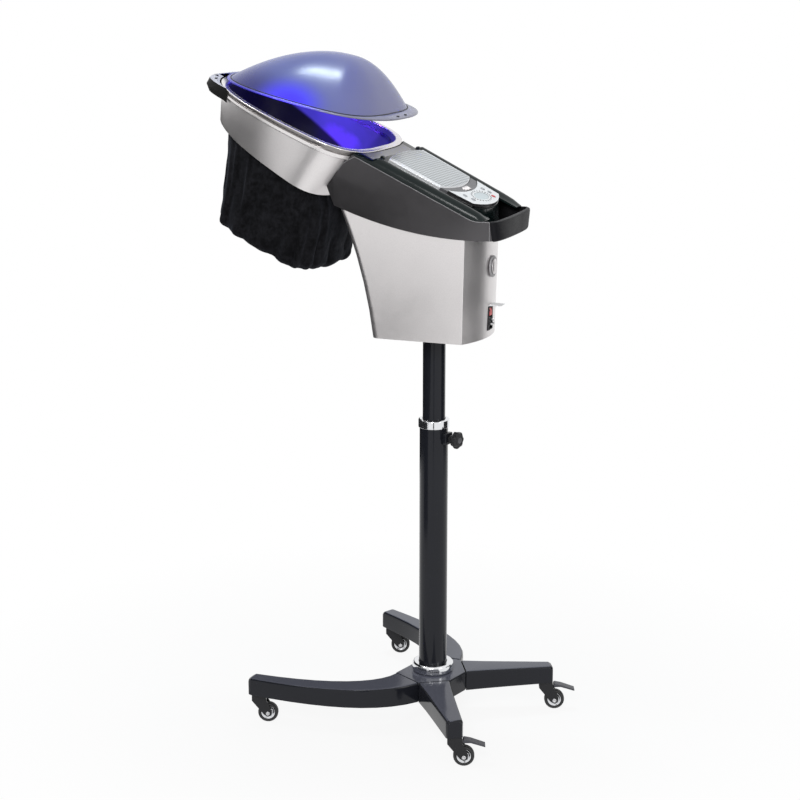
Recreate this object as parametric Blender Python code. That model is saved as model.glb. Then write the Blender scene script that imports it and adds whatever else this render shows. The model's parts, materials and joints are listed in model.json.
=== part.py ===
"""Hair steamer: a tilted hood with a dome visor and a curtain, on a rolling stand that lifts.

Metres, +Z up, floor at z = 0. +X points to the rear of the head, where the grab handle is, and
the hood reaches towards -X. Everything is laid out from the column's axis, which stands at
STAND_X, STAND_Y so that the box round the object is centred on the origin.
"""

import math

import bmesh
import bpy
from mathutils import Matrix, Vector

# Clearances
FIT = 0.0003
RUN = 0.0008

# Place of the column in the frame
STAND_X = 0.0988
STAND_Y = -0.0456

# Base: a hub with two curved front legs and two straight rear legs
BASE_TURN = math.radians(-15.0)
LEG_BOTTOM = 0.062
LEG_HEIGHT = 0.042
LEG_FALL = 0.005
LEG_ROUND = 0.006
LEG_NOSE = 0.006
FRONT_LEG_ANGLE = math.radians(104.0)
FRONT_LEG_ROOT = 0.072
FRONT_LEG_BEND = 0.190
FRONT_LEG_TIP = (-0.2893, 0.2386)
FRONT_LEG_ROOT_WIDTH = 0.074
FRONT_LEG_TIP_WIDTH = 0.034
REAR_LEG_ANGLE = math.radians(42.8)
REAR_LEG_LENGTH = 0.184
REAR_LEG_ROOT_WIDTH = 0.068
REAR_LEG_TIP_WIDTH = 0.035

# Casters
CASTER_INSET = 0.009
CASTER_TURN = math.radians(34.8)
CASTER_TRAIL = 0.021
STEM_RADIUS = 0.005
STEM_LENGTH = 0.018
WHEEL_RADIUS = 0.021
TYRE_WIDTH = 0.017
TYRE_INNER = 0.0148
WHEEL_HUB_WIDTH = 0.0155
AXLE_RADIUS = 0.0032
FORK_CHEEK = 0.0030
FORK_CROWN = 0.0125
FORK_FRONT = 0.0120
FORK_BACK = 0.0165
FORK_LEAN = 0.0020
PEDAL_LENGTH = 0.041
PEDAL_WIDTH = 0.020
PEDAL_THICKNESS = 0.0030
PEDAL_PIVOT_RADIUS = 0.0038
PEDAL_DROP = 0.0045
WHEEL_SIDES = 24

# Column: outer tube, chrome trim, clamp and mast
TUBE_RADIUS = 0.0290
TUBE_WALL = 0.002
TUBE_SEAT = 0.022
TUBE_TOP = 0.6455
RING_RADIUS = 0.0430
RING_HEIGHT = 0.0205
COLLAR_RADIUS = 0.0315
COLLAR_HEIGHT = 0.0175
COLLAR_LIP = 0.0030
BUSH_LENGTH = 0.066
CLAMP_Z = 0.611
BOSS_DEPTH = 0.0095
BOSS_HALF_WIDTH = 0.012
BOSS_HALF_HEIGHT = 0.012
STUD_RADIUS = 0.004
KNOB_NECK_RADIUS = 0.0080
KNOB_NECK_LENGTH = 0.0110
KNOB_RADIUS = 0.0165
KNOB_THICKNESS = 0.0140
KNOB_LOBES = 7
KNOB_LOBE_DEPTH = 0.0018
MAST_RADIUS = 0.0230
MAST_WALL = 0.002
MAST_BOTTOM = 0.330
MAST_TOP = 0.930
MAST_FOOT_HEIGHT = 0.030
ROUND_SIDES = 28

# Lower housing: a tub that widens towards the hood, with a bowed rear wall
HOUSING_BOTTOM = 0.826
HOUSING_WALL = 0.003
HOUSING_HALF_WIDTH = 0.0990
HOUSING_HALF_WIDTH_TOP = 0.1025
HOUSING_FRONT_BOTTOM = -0.0975
HOUSING_FRONT_TOP = -0.171
HOUSING_FRONT_CORNER = 0.016
HOUSING_CREASE_BOTTOM = 0.0915
HOUSING_CREASE_TOP = 0.0970
HOUSING_BOW = 0.0245
FLOOR_THICKNESS = 0.004
SOCKET_WALL = 0.004
SOCKET_FLANGE = 0.0332
SOCKET_FLANGE_THICKNESS = 0.004
SOCKET_CAP = 0.004

# Side panels and rear handle
BAND_LOW_Z = 1.0310
BAND_LOW_X = 0.110
BAND_RISE = 0.055
BAND_LAP = 0.012
BAND_WALL = 0.003
BAND_FRONT_TOP = -0.215
SEAM_X = 0.1530
HANDLE_TOP = 1.0710
HANDLE_APEX = 0.1708
HANDLE_POWER = 2.6
HANDLE_THICKNESS = 0.0130
HANDLE_ROUND = 0.0050

# Top deck: sloping plate with a raised rail on each side and a bowed console wall
DECK_TILT = math.radians(25.87)
DECK_Z = 1.1416
DECK_HALF_FRONT = 0.1330
DECK_HALF_REAR = 0.1215
DECK_FLOOR = 0.004
DECK_FRONT_U = -0.130
DECK_REAR_U = 0.1570
APRON_U = -0.092
APRON_DROP = 0.004
APRON_RAMP = 0.004
RAIL_WIDTH = 0.036
RAIL_HEIGHT = 0.0065
RAIL_CREST = 0.0140
RAIL_DROP = 0.0108
CONSOLE_CORNER_U = 0.1150
CONSOLE_APEX_U = 0.1325
CONSOLE_WALL = 0.003

# Pieces on the deck
TOP_THICKNESS = 0.0080
COVER_FRONT_U = -0.0700
COVER_FRONT_APEX_U = -0.0820
COVER_REAR_U = 0.0440
COVER_REAR_APEX_U = 0.0600
COVER_HALF_FRONT = 0.0935
COVER_HALF_REAR = 0.0885
COVER_CROWN = 0.0022
COVER_SKIN = 0.0040
COVER_BORDER = 0.0050
SEAM_GAP = 0.0010
BEZEL_REAR_U = 0.0600
BEZEL_REAR_APEX_U = 0.0805
BEZEL_HALF_REAR = 0.0860
BEZEL_THICKNESS = 0.0065
LATCH_U = 0.0695
LATCH_LENGTH = 0.0115
LATCH_WIDTH = 0.0300
PANEL_HALF_REAR = 0.0790
BUTTON_RADIUS = 0.0046
BUTTON_PROUD = 0.0012
BUTTON_STEM = 0.0055
BUTTON_PLACES = ((0.0875, -0.058), (0.1045, -0.053), (0.0865, 0.052), (0.1010, 0.056), (0.1150, 0.043))
BUTTON_NAMES = ("button_time_up", "button_time_down", "button_heat_up", "button_heat_down", "button_power")
DISPLAY_U = 0.1030
DISPLAY_HALF_LENGTH = 0.0125
DISPLAY_HALF_WIDTH = 0.0300
DISPLAY_DEPTH = 0.0018

# Inside the body
TANK_FRONT_U = -0.052
TANK_REAR_U = 0.030
TANK_HALF_WIDTH = 0.068
TANK_DEPTH = 0.056
TANK_WALL = 0.002
TANK_FLANGE = 0.006
TANK_FLANGE_THICKNESS = 0.0015
BOARD_FRONT_U = 0.062
BOARD_REAR_U = 0.102
BOARD_HALF_WIDTH = 0.060
BOARD_THICKNESS = 0.0016
BOILER_X = 0.002
BOILER_Y = 0.0635
BOILER_RADIUS = 0.0295
BOILER_HEIGHT = 0.088
SPOUT_RADIUS = 0.0085
SPOUT_HEIGHT = 0.012
PIPE_RADIUS = 0.0070

# Rear wall fittings
CAP_Z = 0.967
CAP_RADIUS = 0.0215
CAP_THICKNESS = 0.0035
INLET_LOW = 0.8400
INLET_HIGH = 0.8880
INLET_HALF_WIDTH = 0.0135
INLET_DEPTH = 0.022
INLET_LIP = 0.0030
INLET_PROUD = 0.0012
INLET_POCKET = 0.014
SWITCH_HEIGHT = 0.0170
SWITCH_HALF_WIDTH = 0.0085
SWITCH_TILT = math.radians(7.0)
FLAP_LENGTH = 0.0230
FLAP_HALF_WIDTH = 0.0130
FLAP_THICKNESS = 0.0012
FLAP_BARREL = 0.0016

# Hood: an egg-shaped wall between a tilted rim and a steeper lower edge
HOOD_SIDES = 48
HOOD_FRONT_POWER = 2.5
HOOD_REAR_POWER = 3.2
RIM_CENTRE = (-0.2106, 1.2309)
RIM_TILT = math.radians(22.45)
RIM_FRONT = 0.2406
RIM_REAR = 0.1130
RIM_HALF_WIDTH = 0.1750
HEM_CENTRE = (-0.2659, 1.1462)
HEM_TILT = math.radians(31.7)
HEM_FRONT = 0.2048
HEM_REAR = 0.0880
HEM_HALF_WIDTH = 0.1570
HOOD_WALL = 0.003
RIM_DEPTH = 0.018
RIM_STEP = 0.004
RIM_TOP = 0.002
RIM_INNER = 0.011
RIM_SKIN = 0.003
LINER_GAP = 0.005
LINER_WALL = 0.002
STRIP_DEPTH = 0.006
STRIP_THICKNESS = 0.0025
STRIP_DROP = 0.009
LIP_HALF_WIDTH = 0.136
LIP_FULL_HALF = 0.068
LIP_TAPER_POWER = 1.4
LIP_TIP_SHARE = 0.06
LIP_REACH = 0.032
LIP_HEIGHT = 0.024
NOZZLE_SHARE = 0.62
NOZZLE_RADIUS = 0.0095
NOZZLE_BORE = 0.0062
NOZZLE_INSIDE = 0.020
NOZZLE_OUTSIDE = 0.014

# Visor: a dome with a thin flange, hinged in the front lip and shown part open
VISOR_OPEN = math.radians(10.0)
HINGE_AHEAD = 0.0187
HINGE_DROP = 0.0086
HINGE_REACH = RIM_FRONT + HINGE_AHEAD
HINGE_X = RIM_CENTRE[0] - HINGE_REACH * math.cos(RIM_TILT) - HINGE_DROP * math.sin(RIM_TILT)
HINGE_Z = RIM_CENTRE[1] + HINGE_REACH * math.sin(RIM_TILT) - HINGE_DROP * math.cos(RIM_TILT)
HINGE_PIN_RADIUS = 0.0030
HINGE_PIN_HALF = 0.054
KNUCKLE_RADIUS = 0.0072
KNUCKLE_HALF = 0.042
VISOR_LIFT = 0.004
VISOR_SKIN = 0.0025
FLANGE_SKIN = 0.0030
FLANGE_SETBACK = 0.0116
FLANGE_REAR_OVERHANG = 0.0270
FLANGE_SIDE_OVERHANG = 0.0040
FLANGE_FRONT_LEDGE = 0.0060
FLANGE_REAR_LEDGE = 0.0310
FLANGE_SIDE_LEDGE = 0.0100
FLANGE_FRONT = RIM_FRONT - FLANGE_SETBACK
FLANGE_REAR = RIM_REAR + FLANGE_REAR_OVERHANG
FLANGE_HALF_WIDTH = RIM_HALF_WIDTH + FLANGE_SIDE_OVERHANG
DOME_FRONT = FLANGE_FRONT - FLANGE_FRONT_LEDGE
DOME_REAR = FLANGE_REAR - FLANGE_REAR_LEDGE
DOME_HALF_WIDTH = FLANGE_HALF_WIDTH - FLANGE_SIDE_LEDGE
DOME_HEIGHT = 0.0900
ARM_NEAR = 0.020
ARM_SHOULDER = 0.026
ARM_FAR = 0.034
DOME_RINGS = 7

# Curtain: gathered cloth hung under the hood, drawn in at its lower edge
CURTAIN_SIDES = 72
CURTAIN_THICKNESS = 0.004
CURTAIN_FOLDS = 18
FOLD_DEPTH = 0.0034
CURTAIN_TOP_SHARE = 0.90
CURTAIN_FRONT_X = (-0.4250, -0.4370, -0.4465, -0.4440, -0.4270)
CURTAIN_FRONT_Z = (1.195, 1.122, 1.066, 1.050, 1.040)
CURTAIN_REAR_X = (-0.1890, -0.1960, -0.2095, -0.2165, -0.2350)
CURTAIN_REAR_Z = (1.080, 1.028, 0.988, 0.961, 0.946)
CURTAIN_HALF_WIDTHS = (0.1460, 0.1470, 0.1460, 0.1410, 0.1240)
CURTAIN_FOLD_SHARES = (0.3, 0.8, 1.0, 0.9, 0.5)


def clear_scene():
    """Remove what a new file holds."""
    for old in list(bpy.data.objects):
        bpy.data.objects.remove(old, do_unlink=True)


def mix(low, high, share):
    """Linear mix of two numbers."""
    return low + (high - low) * share


def make_material(name, colour, roughness, metallic=0.0, alpha=1.0):
    """Principled material, made once for each name."""
    found = bpy.data.materials.get(name)
    if found:
        return found
    material = bpy.data.materials.new(name)
    material.use_nodes = True
    shader = material.node_tree.nodes["Principled BSDF"]
    shader.inputs["Base Color"].default_value = (*colour, 1.0)
    shader.inputs["Roughness"].default_value = roughness
    shader.inputs["Metallic"].default_value = metallic
    shader.inputs["Alpha"].default_value = alpha
    return material


def silver():
    return make_material("silver_plastic", (0.56, 0.53, 0.53), 0.36, 0.45)


def grey():
    return make_material("grey_plastic", (0.075, 0.072, 0.078), 0.62)


def gloss_black():
    return make_material("gloss_black", (0.012, 0.013, 0.016), 0.16)


def matte_black():
    return make_material("matte_black", (0.018, 0.018, 0.020), 0.55)


def chrome():
    return make_material("chrome", (0.80, 0.80, 0.82), 0.10, 1.0)


def pale():
    return make_material("pale_plastic", (0.80, 0.81, 0.82), 0.40)


def steel():
    return make_material("steel", (0.55, 0.55, 0.56), 0.35, 1.0)


def make_empty(name, location, turn=0.0, parent=None):
    """Empty that carries pieces: a frame or a joint's axis."""
    empty = bpy.data.objects.new(name, None)
    bpy.context.collection.objects.link(empty)
    empty.location = location
    empty.rotation_euler = (0.0, 0.0, turn)
    empty.parent = parent
    return empty


def add_piece(name, bm, material, parent, origin=(0.0, 0.0, 0.0)):
    """Turn a bmesh, drawn in its parent's coordinates, into an object with the given origin."""
    bmesh.ops.recalc_face_normals(bm, faces=bm.faces)
    bmesh.ops.translate(bm, verts=bm.verts, vec=-Vector(origin))
    mesh = bpy.data.meshes.new(name)
    bm.to_mesh(mesh)
    bm.free()
    mesh.shade_smooth()
    mesh.set_sharp_from_angle(angle=math.radians(38.0))
    mesh.materials.append(material)
    piece = bpy.data.objects.new(name, mesh)
    bpy.context.collection.objects.link(piece)
    piece.location = origin
    piece.parent = parent
    return piece


def add_cutter(name, bm, parent):
    """Hidden solid used by a Boolean."""
    cutter = add_piece(name, bm, matte_black(), parent)
    cutter.hide_render = True
    cutter.display_type = "WIRE"
    return cutter


def combine(piece, cutter, operation="DIFFERENCE"):
    """Cut a piece by a hidden solid, or join the two."""
    modifier = piece.modifiers.new(f"{operation.lower()}_{cutter.name}", "BOOLEAN")
    modifier.operation = operation
    modifier.solver = "EXACT"
    modifier.object = cutter


def bevel(piece, width, segments=2):
    """Round the sharp edges of a piece."""
    modifier = piece.modifiers.new("rounded_edges", "BEVEL")
    modifier.width = width
    modifier.segments = segments
    modifier.limit_method = "ANGLE"
    modifier.angle_limit = math.radians(40.0)


def loft(rings, closed=False):
    """Skin over a row of rings. A ring of one point is a pole; closed joins last to first."""
    bm = bmesh.new()
    loops = [[bm.verts.new(point) for point in ring] for ring in rings]
    pairs = list(zip(loops, loops[1:]))
    if closed:
        pairs.append((loops[-1], loops[0]))
    for low, high in pairs:
        count = max(len(low), len(high))
        for i in range(count):
            j = (i + 1) % count
            corners = [low[i % len(low)], low[j % len(low)], high[j % len(high)], high[i % len(high)]]
            bm.faces.new(list(dict.fromkeys(corners)))
    if not closed:
        for end in (loops[0], loops[-1]):
            if len(end) > 2:
                bm.faces.new(end)
    return bm


def lathe(profile, sides=ROUND_SIDES, closed=False, phase=0.0):
    """Turn a profile of (radius, height) points about Z."""
    rings = []
    for radius, height in profile:
        if radius == 0.0:
            rings.append([Vector((0.0, 0.0, height))])
            continue
        steps = [phase + 2.0 * math.pi * k / sides for k in range(sides)]
        rings.append([Vector((radius * math.cos(a), radius * math.sin(a), height)) for a in steps])
    return loft(rings, closed)


def pipe_profile(inner, outer, low, high, chamfer=0.0):
    """Closed profile of a straight tube."""
    return [
        (inner, low),
        (outer - chamfer, low),
        (outer, low + chamfer),
        (outer, high - chamfer),
        (outer - chamfer, high),
        (inner, high),
    ] if chamfer else [(inner, low), (outer, low), (outer, high), (inner, high)]


def disc_profile(radius, low, high):
    """Profile of a plain solid cylinder."""
    return [(0.0, low), (radius, low), (radius, high), (0.0, high)]


def moved(bm, offset):
    bmesh.ops.translate(bm, verts=bm.verts, vec=Vector(offset))
    return bm


def aimed(bm, direction):
    """Turn a shape drawn along +Z to another direction."""
    turn = Vector((0.0, 0.0, 1.0)).rotation_difference(Vector(direction))
    bmesh.ops.rotate(bm, verts=bm.verts, cent=(0.0, 0.0, 0.0), matrix=turn.to_matrix())
    return bm


def box(low, high):
    """Plain block between two corners."""
    corners = [(low[0], low[1]), (high[0], low[1]), (high[0], high[1]), (low[0], high[1])]
    return loft([[Vector((x, y, z)) for x, y in corners] for z in (low[2], high[2])])


def extruded_side(outline, half_width):
    """Outline in the XZ plane, given thickness along Y about the middle plane."""
    return loft([[Vector((x, y, z)) for x, z in outline] for y in (-half_width, half_width)])


# Base


def leg_section(centre, across, width, top):
    """Cross-section of a leg: square below, rounded above."""
    half = width / 2
    soft = 0.29 * LEG_ROUND
    points = [
        (-half, LEG_BOTTOM),
        (half, LEG_BOTTOM),
        (half, top - LEG_ROUND),
        (half - soft, top - soft),
        (half - LEG_ROUND, top),
        (LEG_ROUND - half, top),
        (soft - half, top - soft),
        (-half, top - LEG_ROUND),
    ]
    return [Vector((centre.x + across.x * s, centre.y + across.y * s, z)) for s, z in points]


def leg_solid(path, heading, widths):
    """Sweep the leg section along a path, with a softened nose at its tip."""
    top = LEG_BOTTOM + LEG_HEIGHT
    rings = []
    for k, centre in enumerate(path):
        ahead = path[min(k + 1, len(path) - 1)] - path[max(k - 1, 0)] if k else heading
        across = Vector((ahead.y, -ahead.x, 0.0)).normalized()
        rings.append(leg_section(centre, across, widths[k], top - LEG_FALL * k / (len(path) - 1)))
    top -= LEG_FALL
    ahead = (path[-1] - path[-2]).normalized()
    across = Vector((ahead.y, -ahead.x, 0.0))
    nose = path[-1] + ahead * LEG_NOSE
    rings.append(leg_section(nose, across, widths[-1] - LEG_NOSE, top - LEG_NOSE / 2))
    return loft(rings)


def leg_heading(angle, side):
    """Direction in which a leg leaves the hub."""
    return Vector((math.cos(angle), side * math.sin(angle), 0.0))


def root_corner(side):
    """Corner of the hub where the roots of a front leg and a rear leg meet."""
    ahead = leg_heading(FRONT_LEG_ANGLE, side)
    return ahead * FRONT_LEG_ROOT + Vector((ahead.y, -ahead.x, 0.0)) * side * FRONT_LEG_ROOT_WIDTH / 2


def rear_leg_root(side):
    """Middle of the face of the hub that a rear leg is fixed to."""
    ahead = leg_heading(REAR_LEG_ANGLE, side)
    return root_corner(side) + Vector((ahead.y, -ahead.x, 0.0)) * side * REAR_LEG_ROOT_WIDTH / 2


def rear_leg_path(side):
    heading = leg_heading(REAR_LEG_ANGLE, side)
    root = rear_leg_root(side)
    steps = 4
    return [root + heading * mix(FIT, REAR_LEG_LENGTH, k / steps) for k in range(steps + 1)]


def front_leg_path(side):
    heading = leg_heading(FRONT_LEG_ANGLE, side)
    root = heading * (FRONT_LEG_ROOT + FIT)
    bend = heading * FRONT_LEG_BEND
    tip = Vector((FRONT_LEG_TIP[0], side * FRONT_LEG_TIP[1], 0.0))
    steps = 10
    path = []
    for k in range(steps + 1):
        t = k / steps
        path.append(root * (1 - t) ** 2 + bend * 2 * t * (1 - t) + tip * t * t)
    return path


def leg_widths(path, root_width, tip_width):
    count = len(path) - 1
    return [mix(root_width, tip_width, (k / count) ** 0.8) for k in range(count + 1)]


def stem_place(path):
    """Point under the leg where the caster's stem goes in."""
    ahead = (path[-1] - path[-2]).normalized()
    return path[-1] - ahead * CASTER_INSET


def hub_outline():
    """Star of six corners that meets the root of each leg."""
    half = []
    for side in (1, -1):
        front = leg_heading(FRONT_LEG_ANGLE, side) * FRONT_LEG_ROOT
        half.append([rear_leg_root(side) * 2 - root_corner(side), root_corner(side), front * 2 - root_corner(side)])
    return half[0] + list(reversed(half[1]))


def build_base(base):
    """Hub, four legs and the chrome ring round the foot of the column."""
    top = LEG_BOTTOM + LEG_HEIGHT
    outline = hub_outline()
    rings = [[point + Vector((0.0, 0.0, z)) for point in outline] for z in (LEG_BOTTOM, top)]
    hub = add_piece("base_hub", loft(rings), gloss_black(), base)
    bevel(hub, LEG_ROUND / 2)
    bore = lathe(disc_profile(TUBE_RADIUS + FIT, top - TUBE_SEAT - FIT, top + TUBE_SEAT))
    combine(hub, add_cutter("hub_bore_cutter", bore, base))

    plans = (
        ("front", front_leg_path, FRONT_LEG_ANGLE, FRONT_LEG_ROOT_WIDTH, FRONT_LEG_TIP_WIDTH),
        ("rear", rear_leg_path, REAR_LEG_ANGLE, REAR_LEG_ROOT_WIDTH, REAR_LEG_TIP_WIDTH),
    )
    for end, path_of, angle, root_width, tip_width in plans:
        for hand, side in (("left", -1), ("right", 1)):
            path = path_of(side)
            solid = leg_solid(path, leg_heading(angle, side), leg_widths(path, root_width, tip_width))
            leg = add_piece(f"leg_{end}_{hand}", solid, gloss_black(), base)
            hole = lathe(disc_profile(STEM_RADIUS + FIT, -STEM_LENGTH, STEM_LENGTH + FIT), 24)
            place = stem_place(path) + Vector((0.0, 0.0, LEG_BOTTOM))
            combine(leg, add_cutter(f"stem_cutter_{end}_{hand}", moved(hole, place), base))
            build_caster(f"{end}_{hand}", stem_place(path), base, end == "rear")

    ring = pipe_profile(TUBE_RADIUS + FIT, RING_RADIUS, top + FIT, top + RING_HEIGHT, 0.003)
    add_piece("base_ring", lathe(ring, closed=True), chrome(), base)


def fork_solid():
    """Side view of the caster fork, before the wheel's slot is cut."""
    top = LEG_BOTTOM - FIT
    axle_x, axle_z = CASTER_TRAIL, WHEEL_RADIUS
    outline = [
        (-FORK_FRONT, top),
        (FORK_BACK, top),
        (FORK_BACK + FORK_LEAN, top - FORK_CROWN),
        (axle_x + 0.0085, axle_z + 0.006),
        (axle_x + 0.0075, axle_z - 0.004),
        (axle_x, axle_z - 0.0075),
        (axle_x - 0.0080, axle_z - 0.003),
        (-FORK_FRONT, top - FORK_CROWN),
    ]
    return extruded_side(outline, TYRE_WIDTH / 2 + RUN + FORK_CHEEK)


def build_caster(label, place, base, braked):
    """Swivel fork with its axle pin, wheel and, at the rear, a brake pedal."""
    swivel = make_empty(f"swivel_{label}", place, CASTER_TURN, base)
    fork = add_piece(f"caster_fork_{label}", fork_solid(), matte_black(), swivel)
    slot_half = TYRE_WIDTH / 2 + RUN
    reach = WHEEL_RADIUS + CASTER_TRAIL
    slot = box((-reach, -slot_half, -0.01), (2 * reach, slot_half, LEG_BOTTOM - FIT - FORK_CROWN))
    combine(fork, add_cutter(f"wheel_slot_{label}", slot, swivel))
    stem = lathe(disc_profile(STEM_RADIUS, LEG_BOTTOM - FORK_CROWN / 2, LEG_BOTTOM + STEM_LENGTH), 24)
    combine(fork, add_cutter(f"stem_{label}", stem, swivel), "UNION")
    pin_half = slot_half + FORK_CHEEK / 2
    pin = aimed(lathe(disc_profile(AXLE_RADIUS, -pin_half, pin_half), 20), (0.0, 1.0, 0.0))
    pin = moved(pin, (CASTER_TRAIL, 0.0, WHEEL_RADIUS))
    combine(fork, add_cutter(f"axle_{label}", pin, swivel), "UNION")

    axle = (CASTER_TRAIL, 0.0, WHEEL_RADIUS)
    facet = WHEEL_RADIUS / math.cos(math.pi / WHEEL_SIDES)
    half = TYRE_WIDTH / 2
    tyre = [
        (TYRE_INNER, -half + 0.001),
        (facet - 0.003, -half),
        (facet, -half + 0.003),
        (facet, half - 0.003),
        (facet - 0.003, half),
        (TYRE_INNER, half - 0.001),
    ]
    phase = math.pi / WHEEL_SIDES
    tyre_solid = aimed(lathe(tyre, WHEEL_SIDES, True, phase), (0.0, 1.0, 0.0))
    add_piece(f"tyre_{label}", moved(tyre_solid, axle), matte_black(), swivel, axle)
    half = WHEEL_HUB_WIDTH / 2
    rim = [
        (AXLE_RADIUS + FIT, -half),
        (0.0075, -half),
        (0.0100, -half + 0.0028),
        (TYRE_INNER - FIT, -half + 0.0008),
    ]
    rim += [(radius, -height) for radius, height in reversed(rim)]
    rim_solid = aimed(lathe(rim, WHEEL_SIDES, True, phase), (0.0, 1.0, 0.0))
    add_piece(f"wheel_hub_{label}", moved(rim_solid, axle), pale(), swivel, axle)
    if braked:
        build_pedal(label, swivel)


def build_pedal(label, swivel):
    """Brake lever: a barrel behind the fork's crown and a blade to step on."""
    pivot = pedal_pivot()
    thick = PEDAL_THICKNESS
    outline = []
    for k in range(9):
        angle = math.radians(60.0 + 30.0 * k)
        outline.append((PEDAL_PIVOT_RADIUS * math.cos(angle), PEDAL_PIVOT_RADIUS * math.sin(angle)))
    tip_z = -0.010
    outline += [
        (0.012, -0.003),
        (PEDAL_LENGTH, tip_z - thick / 2),
        (PEDAL_LENGTH, tip_z + thick / 2),
        (0.012, thick - 0.003 + 0.0015),
    ]
    blade = extruded_side(outline, PEDAL_WIDTH / 2)
    add_piece(f"brake_pedal_{label}", moved(blade, pivot), matte_black(), swivel, pivot)


def pedal_pivot():
    """Centre of the brake lever's barrel, in the caster's frame."""
    x = FORK_BACK + FORK_LEAN + PEDAL_PIVOT_RADIUS
    return (x, 0.0, LEG_BOTTOM - FIT - PEDAL_PIVOT_RADIUS - PEDAL_DROP)


# Column


def build_column(base):
    """Outer tube with its clamp boss, chrome collar, guide bush and clamp knob."""
    foot = LEG_BOTTOM + LEG_HEIGHT - TUBE_SEAT
    wall = pipe_profile(TUBE_RADIUS - TUBE_WALL, TUBE_RADIUS, foot, TUBE_TOP)
    tube = add_piece("outer_tube", lathe(wall, closed=True), gloss_black(), base)
    boss_low = (TUBE_RADIUS - TUBE_WALL / 2, -BOSS_HALF_WIDTH, CLAMP_Z - BOSS_HALF_HEIGHT)
    boss_high = (TUBE_RADIUS + BOSS_DEPTH, BOSS_HALF_WIDTH, CLAMP_Z + BOSS_HALF_HEIGHT)
    boss = add_cutter("clamp_boss", box(boss_low, boss_high), base)
    bevel(boss, 0.002)
    combine(tube, boss, "UNION")
    room = lathe(disc_profile(TUBE_RADIUS - TUBE_WALL, foot + TUBE_SEAT, TUBE_TOP + TUBE_SEAT))
    combine(tube, add_cutter("tube_bore_cutter", room, base))
    hole = lathe(disc_profile(STUD_RADIUS + FIT, 0.0, 3 * TUBE_RADIUS), 24)
    hole = moved(aimed(hole, (1.0, 0.0, 0.0)), (0.0, 0.0, CLAMP_Z))
    stud_cutter = add_cutter("stud_cutter", hole, base)
    combine(tube, stud_cutter)

    top = TUBE_TOP + FIT + COLLAR_LIP
    collar = [
        (TUBE_RADIUS + FIT, top - COLLAR_HEIGHT),
        (COLLAR_RADIUS, top - COLLAR_HEIGHT),
        (COLLAR_RADIUS, top - 0.002),
        (COLLAR_RADIUS - 0.002, top),
        (MAST_RADIUS + RUN, top),
        (MAST_RADIUS + RUN, TUBE_TOP + FIT),
        (TUBE_RADIUS + FIT, TUBE_TOP + FIT),
    ]
    add_piece("tube_collar", lathe(collar, closed=True), chrome(), base)

    bush_outer = TUBE_RADIUS - TUBE_WALL - FIT
    bush = pipe_profile(MAST_RADIUS + FIT, bush_outer, TUBE_TOP - BUSH_LENGTH, TUBE_TOP)
    bush_piece = add_piece("guide_bush", lathe(bush, closed=True), pale(), base)
    combine(bush_piece, stud_cutter)
    build_knob(base)


def build_knob(base):
    """Lobed clamp knob with its stud, which presses on the mast."""
    start = MAST_RADIUS + FIT
    neck = TUBE_RADIUS + BOSS_DEPTH + FIT
    head = neck + KNOB_NECK_LENGTH
    end = head + KNOB_THICKNESS
    soft = 0.003
    stations = [
        (start, STUD_RADIUS, 0.0),
        (neck, STUD_RADIUS, 0.0),
        (neck, KNOB_NECK_RADIUS, 0.0),
        (head, KNOB_NECK_RADIUS, 0.0),
        (head, KNOB_RADIUS - soft, KNOB_LOBE_DEPTH),
        (head + soft, KNOB_RADIUS, KNOB_LOBE_DEPTH),
        (end - soft, KNOB_RADIUS, KNOB_LOBE_DEPTH),
        (end, KNOB_RADIUS - soft, KNOB_LOBE_DEPTH / 2),
    ]
    sides = KNOB_LOBES * 4
    rings = []
    for x, radius, lobe in stations:
        ring = []
        for k in range(sides):
            angle = 2.0 * math.pi * k / sides
            reach = radius + lobe * math.cos(KNOB_LOBES * angle)
            ring.append(Vector((x, reach * math.cos(angle), CLAMP_Z + reach * math.sin(angle))))
        rings.append(ring)
    add_piece("clamp_knob", loft(rings), matte_black(), base, (neck, 0.0, CLAMP_Z))


def build_mast(mast):
    """Sliding inner tube with a wider guide ring at its foot."""
    inner = MAST_RADIUS - MAST_WALL
    foot = TUBE_RADIUS - TUBE_WALL - FIT
    step = MAST_BOTTOM + MAST_FOOT_HEIGHT
    profile = [
        (inner, MAST_BOTTOM),
        (foot, MAST_BOTTOM),
        (foot, step),
        (MAST_RADIUS, step),
        (MAST_RADIUS, MAST_TOP),
        (inner, MAST_TOP),
    ]
    add_piece("mast_tube", lathe(profile, closed=True), gloss_black(), mast)


# Body of the head


def band_low(x):
    """Height of the side panels' lower edge."""
    share = (x - BAND_LOW_X) / (HOUSING_FRONT_TOP - BAND_LOW_X)
    return BAND_LOW_Z + BAND_RISE * share * share


def deck_height(x, proud=0.0):
    """Height of the deck's plane, or of one that far above it, over a place along X."""
    return DECK_Z - x * math.tan(DECK_TILT) + proud / math.cos(DECK_TILT)


def deck_point(u, v, n):
    """Point in the deck's frame: along the slope, across, and out of its plane."""
    c, s = math.cos(DECK_TILT), math.sin(DECK_TILT)
    return Vector((u * c + n * s, v, DECK_Z - u * s + n * c))


def deck_half(u):
    """Half width of the deck, which narrows to the rear."""
    share = (u - DECK_FRONT_U) / (DECK_REAR_U - DECK_FRONT_U)
    return mix(DECK_HALF_FRONT, DECK_HALF_REAR, share)


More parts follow.
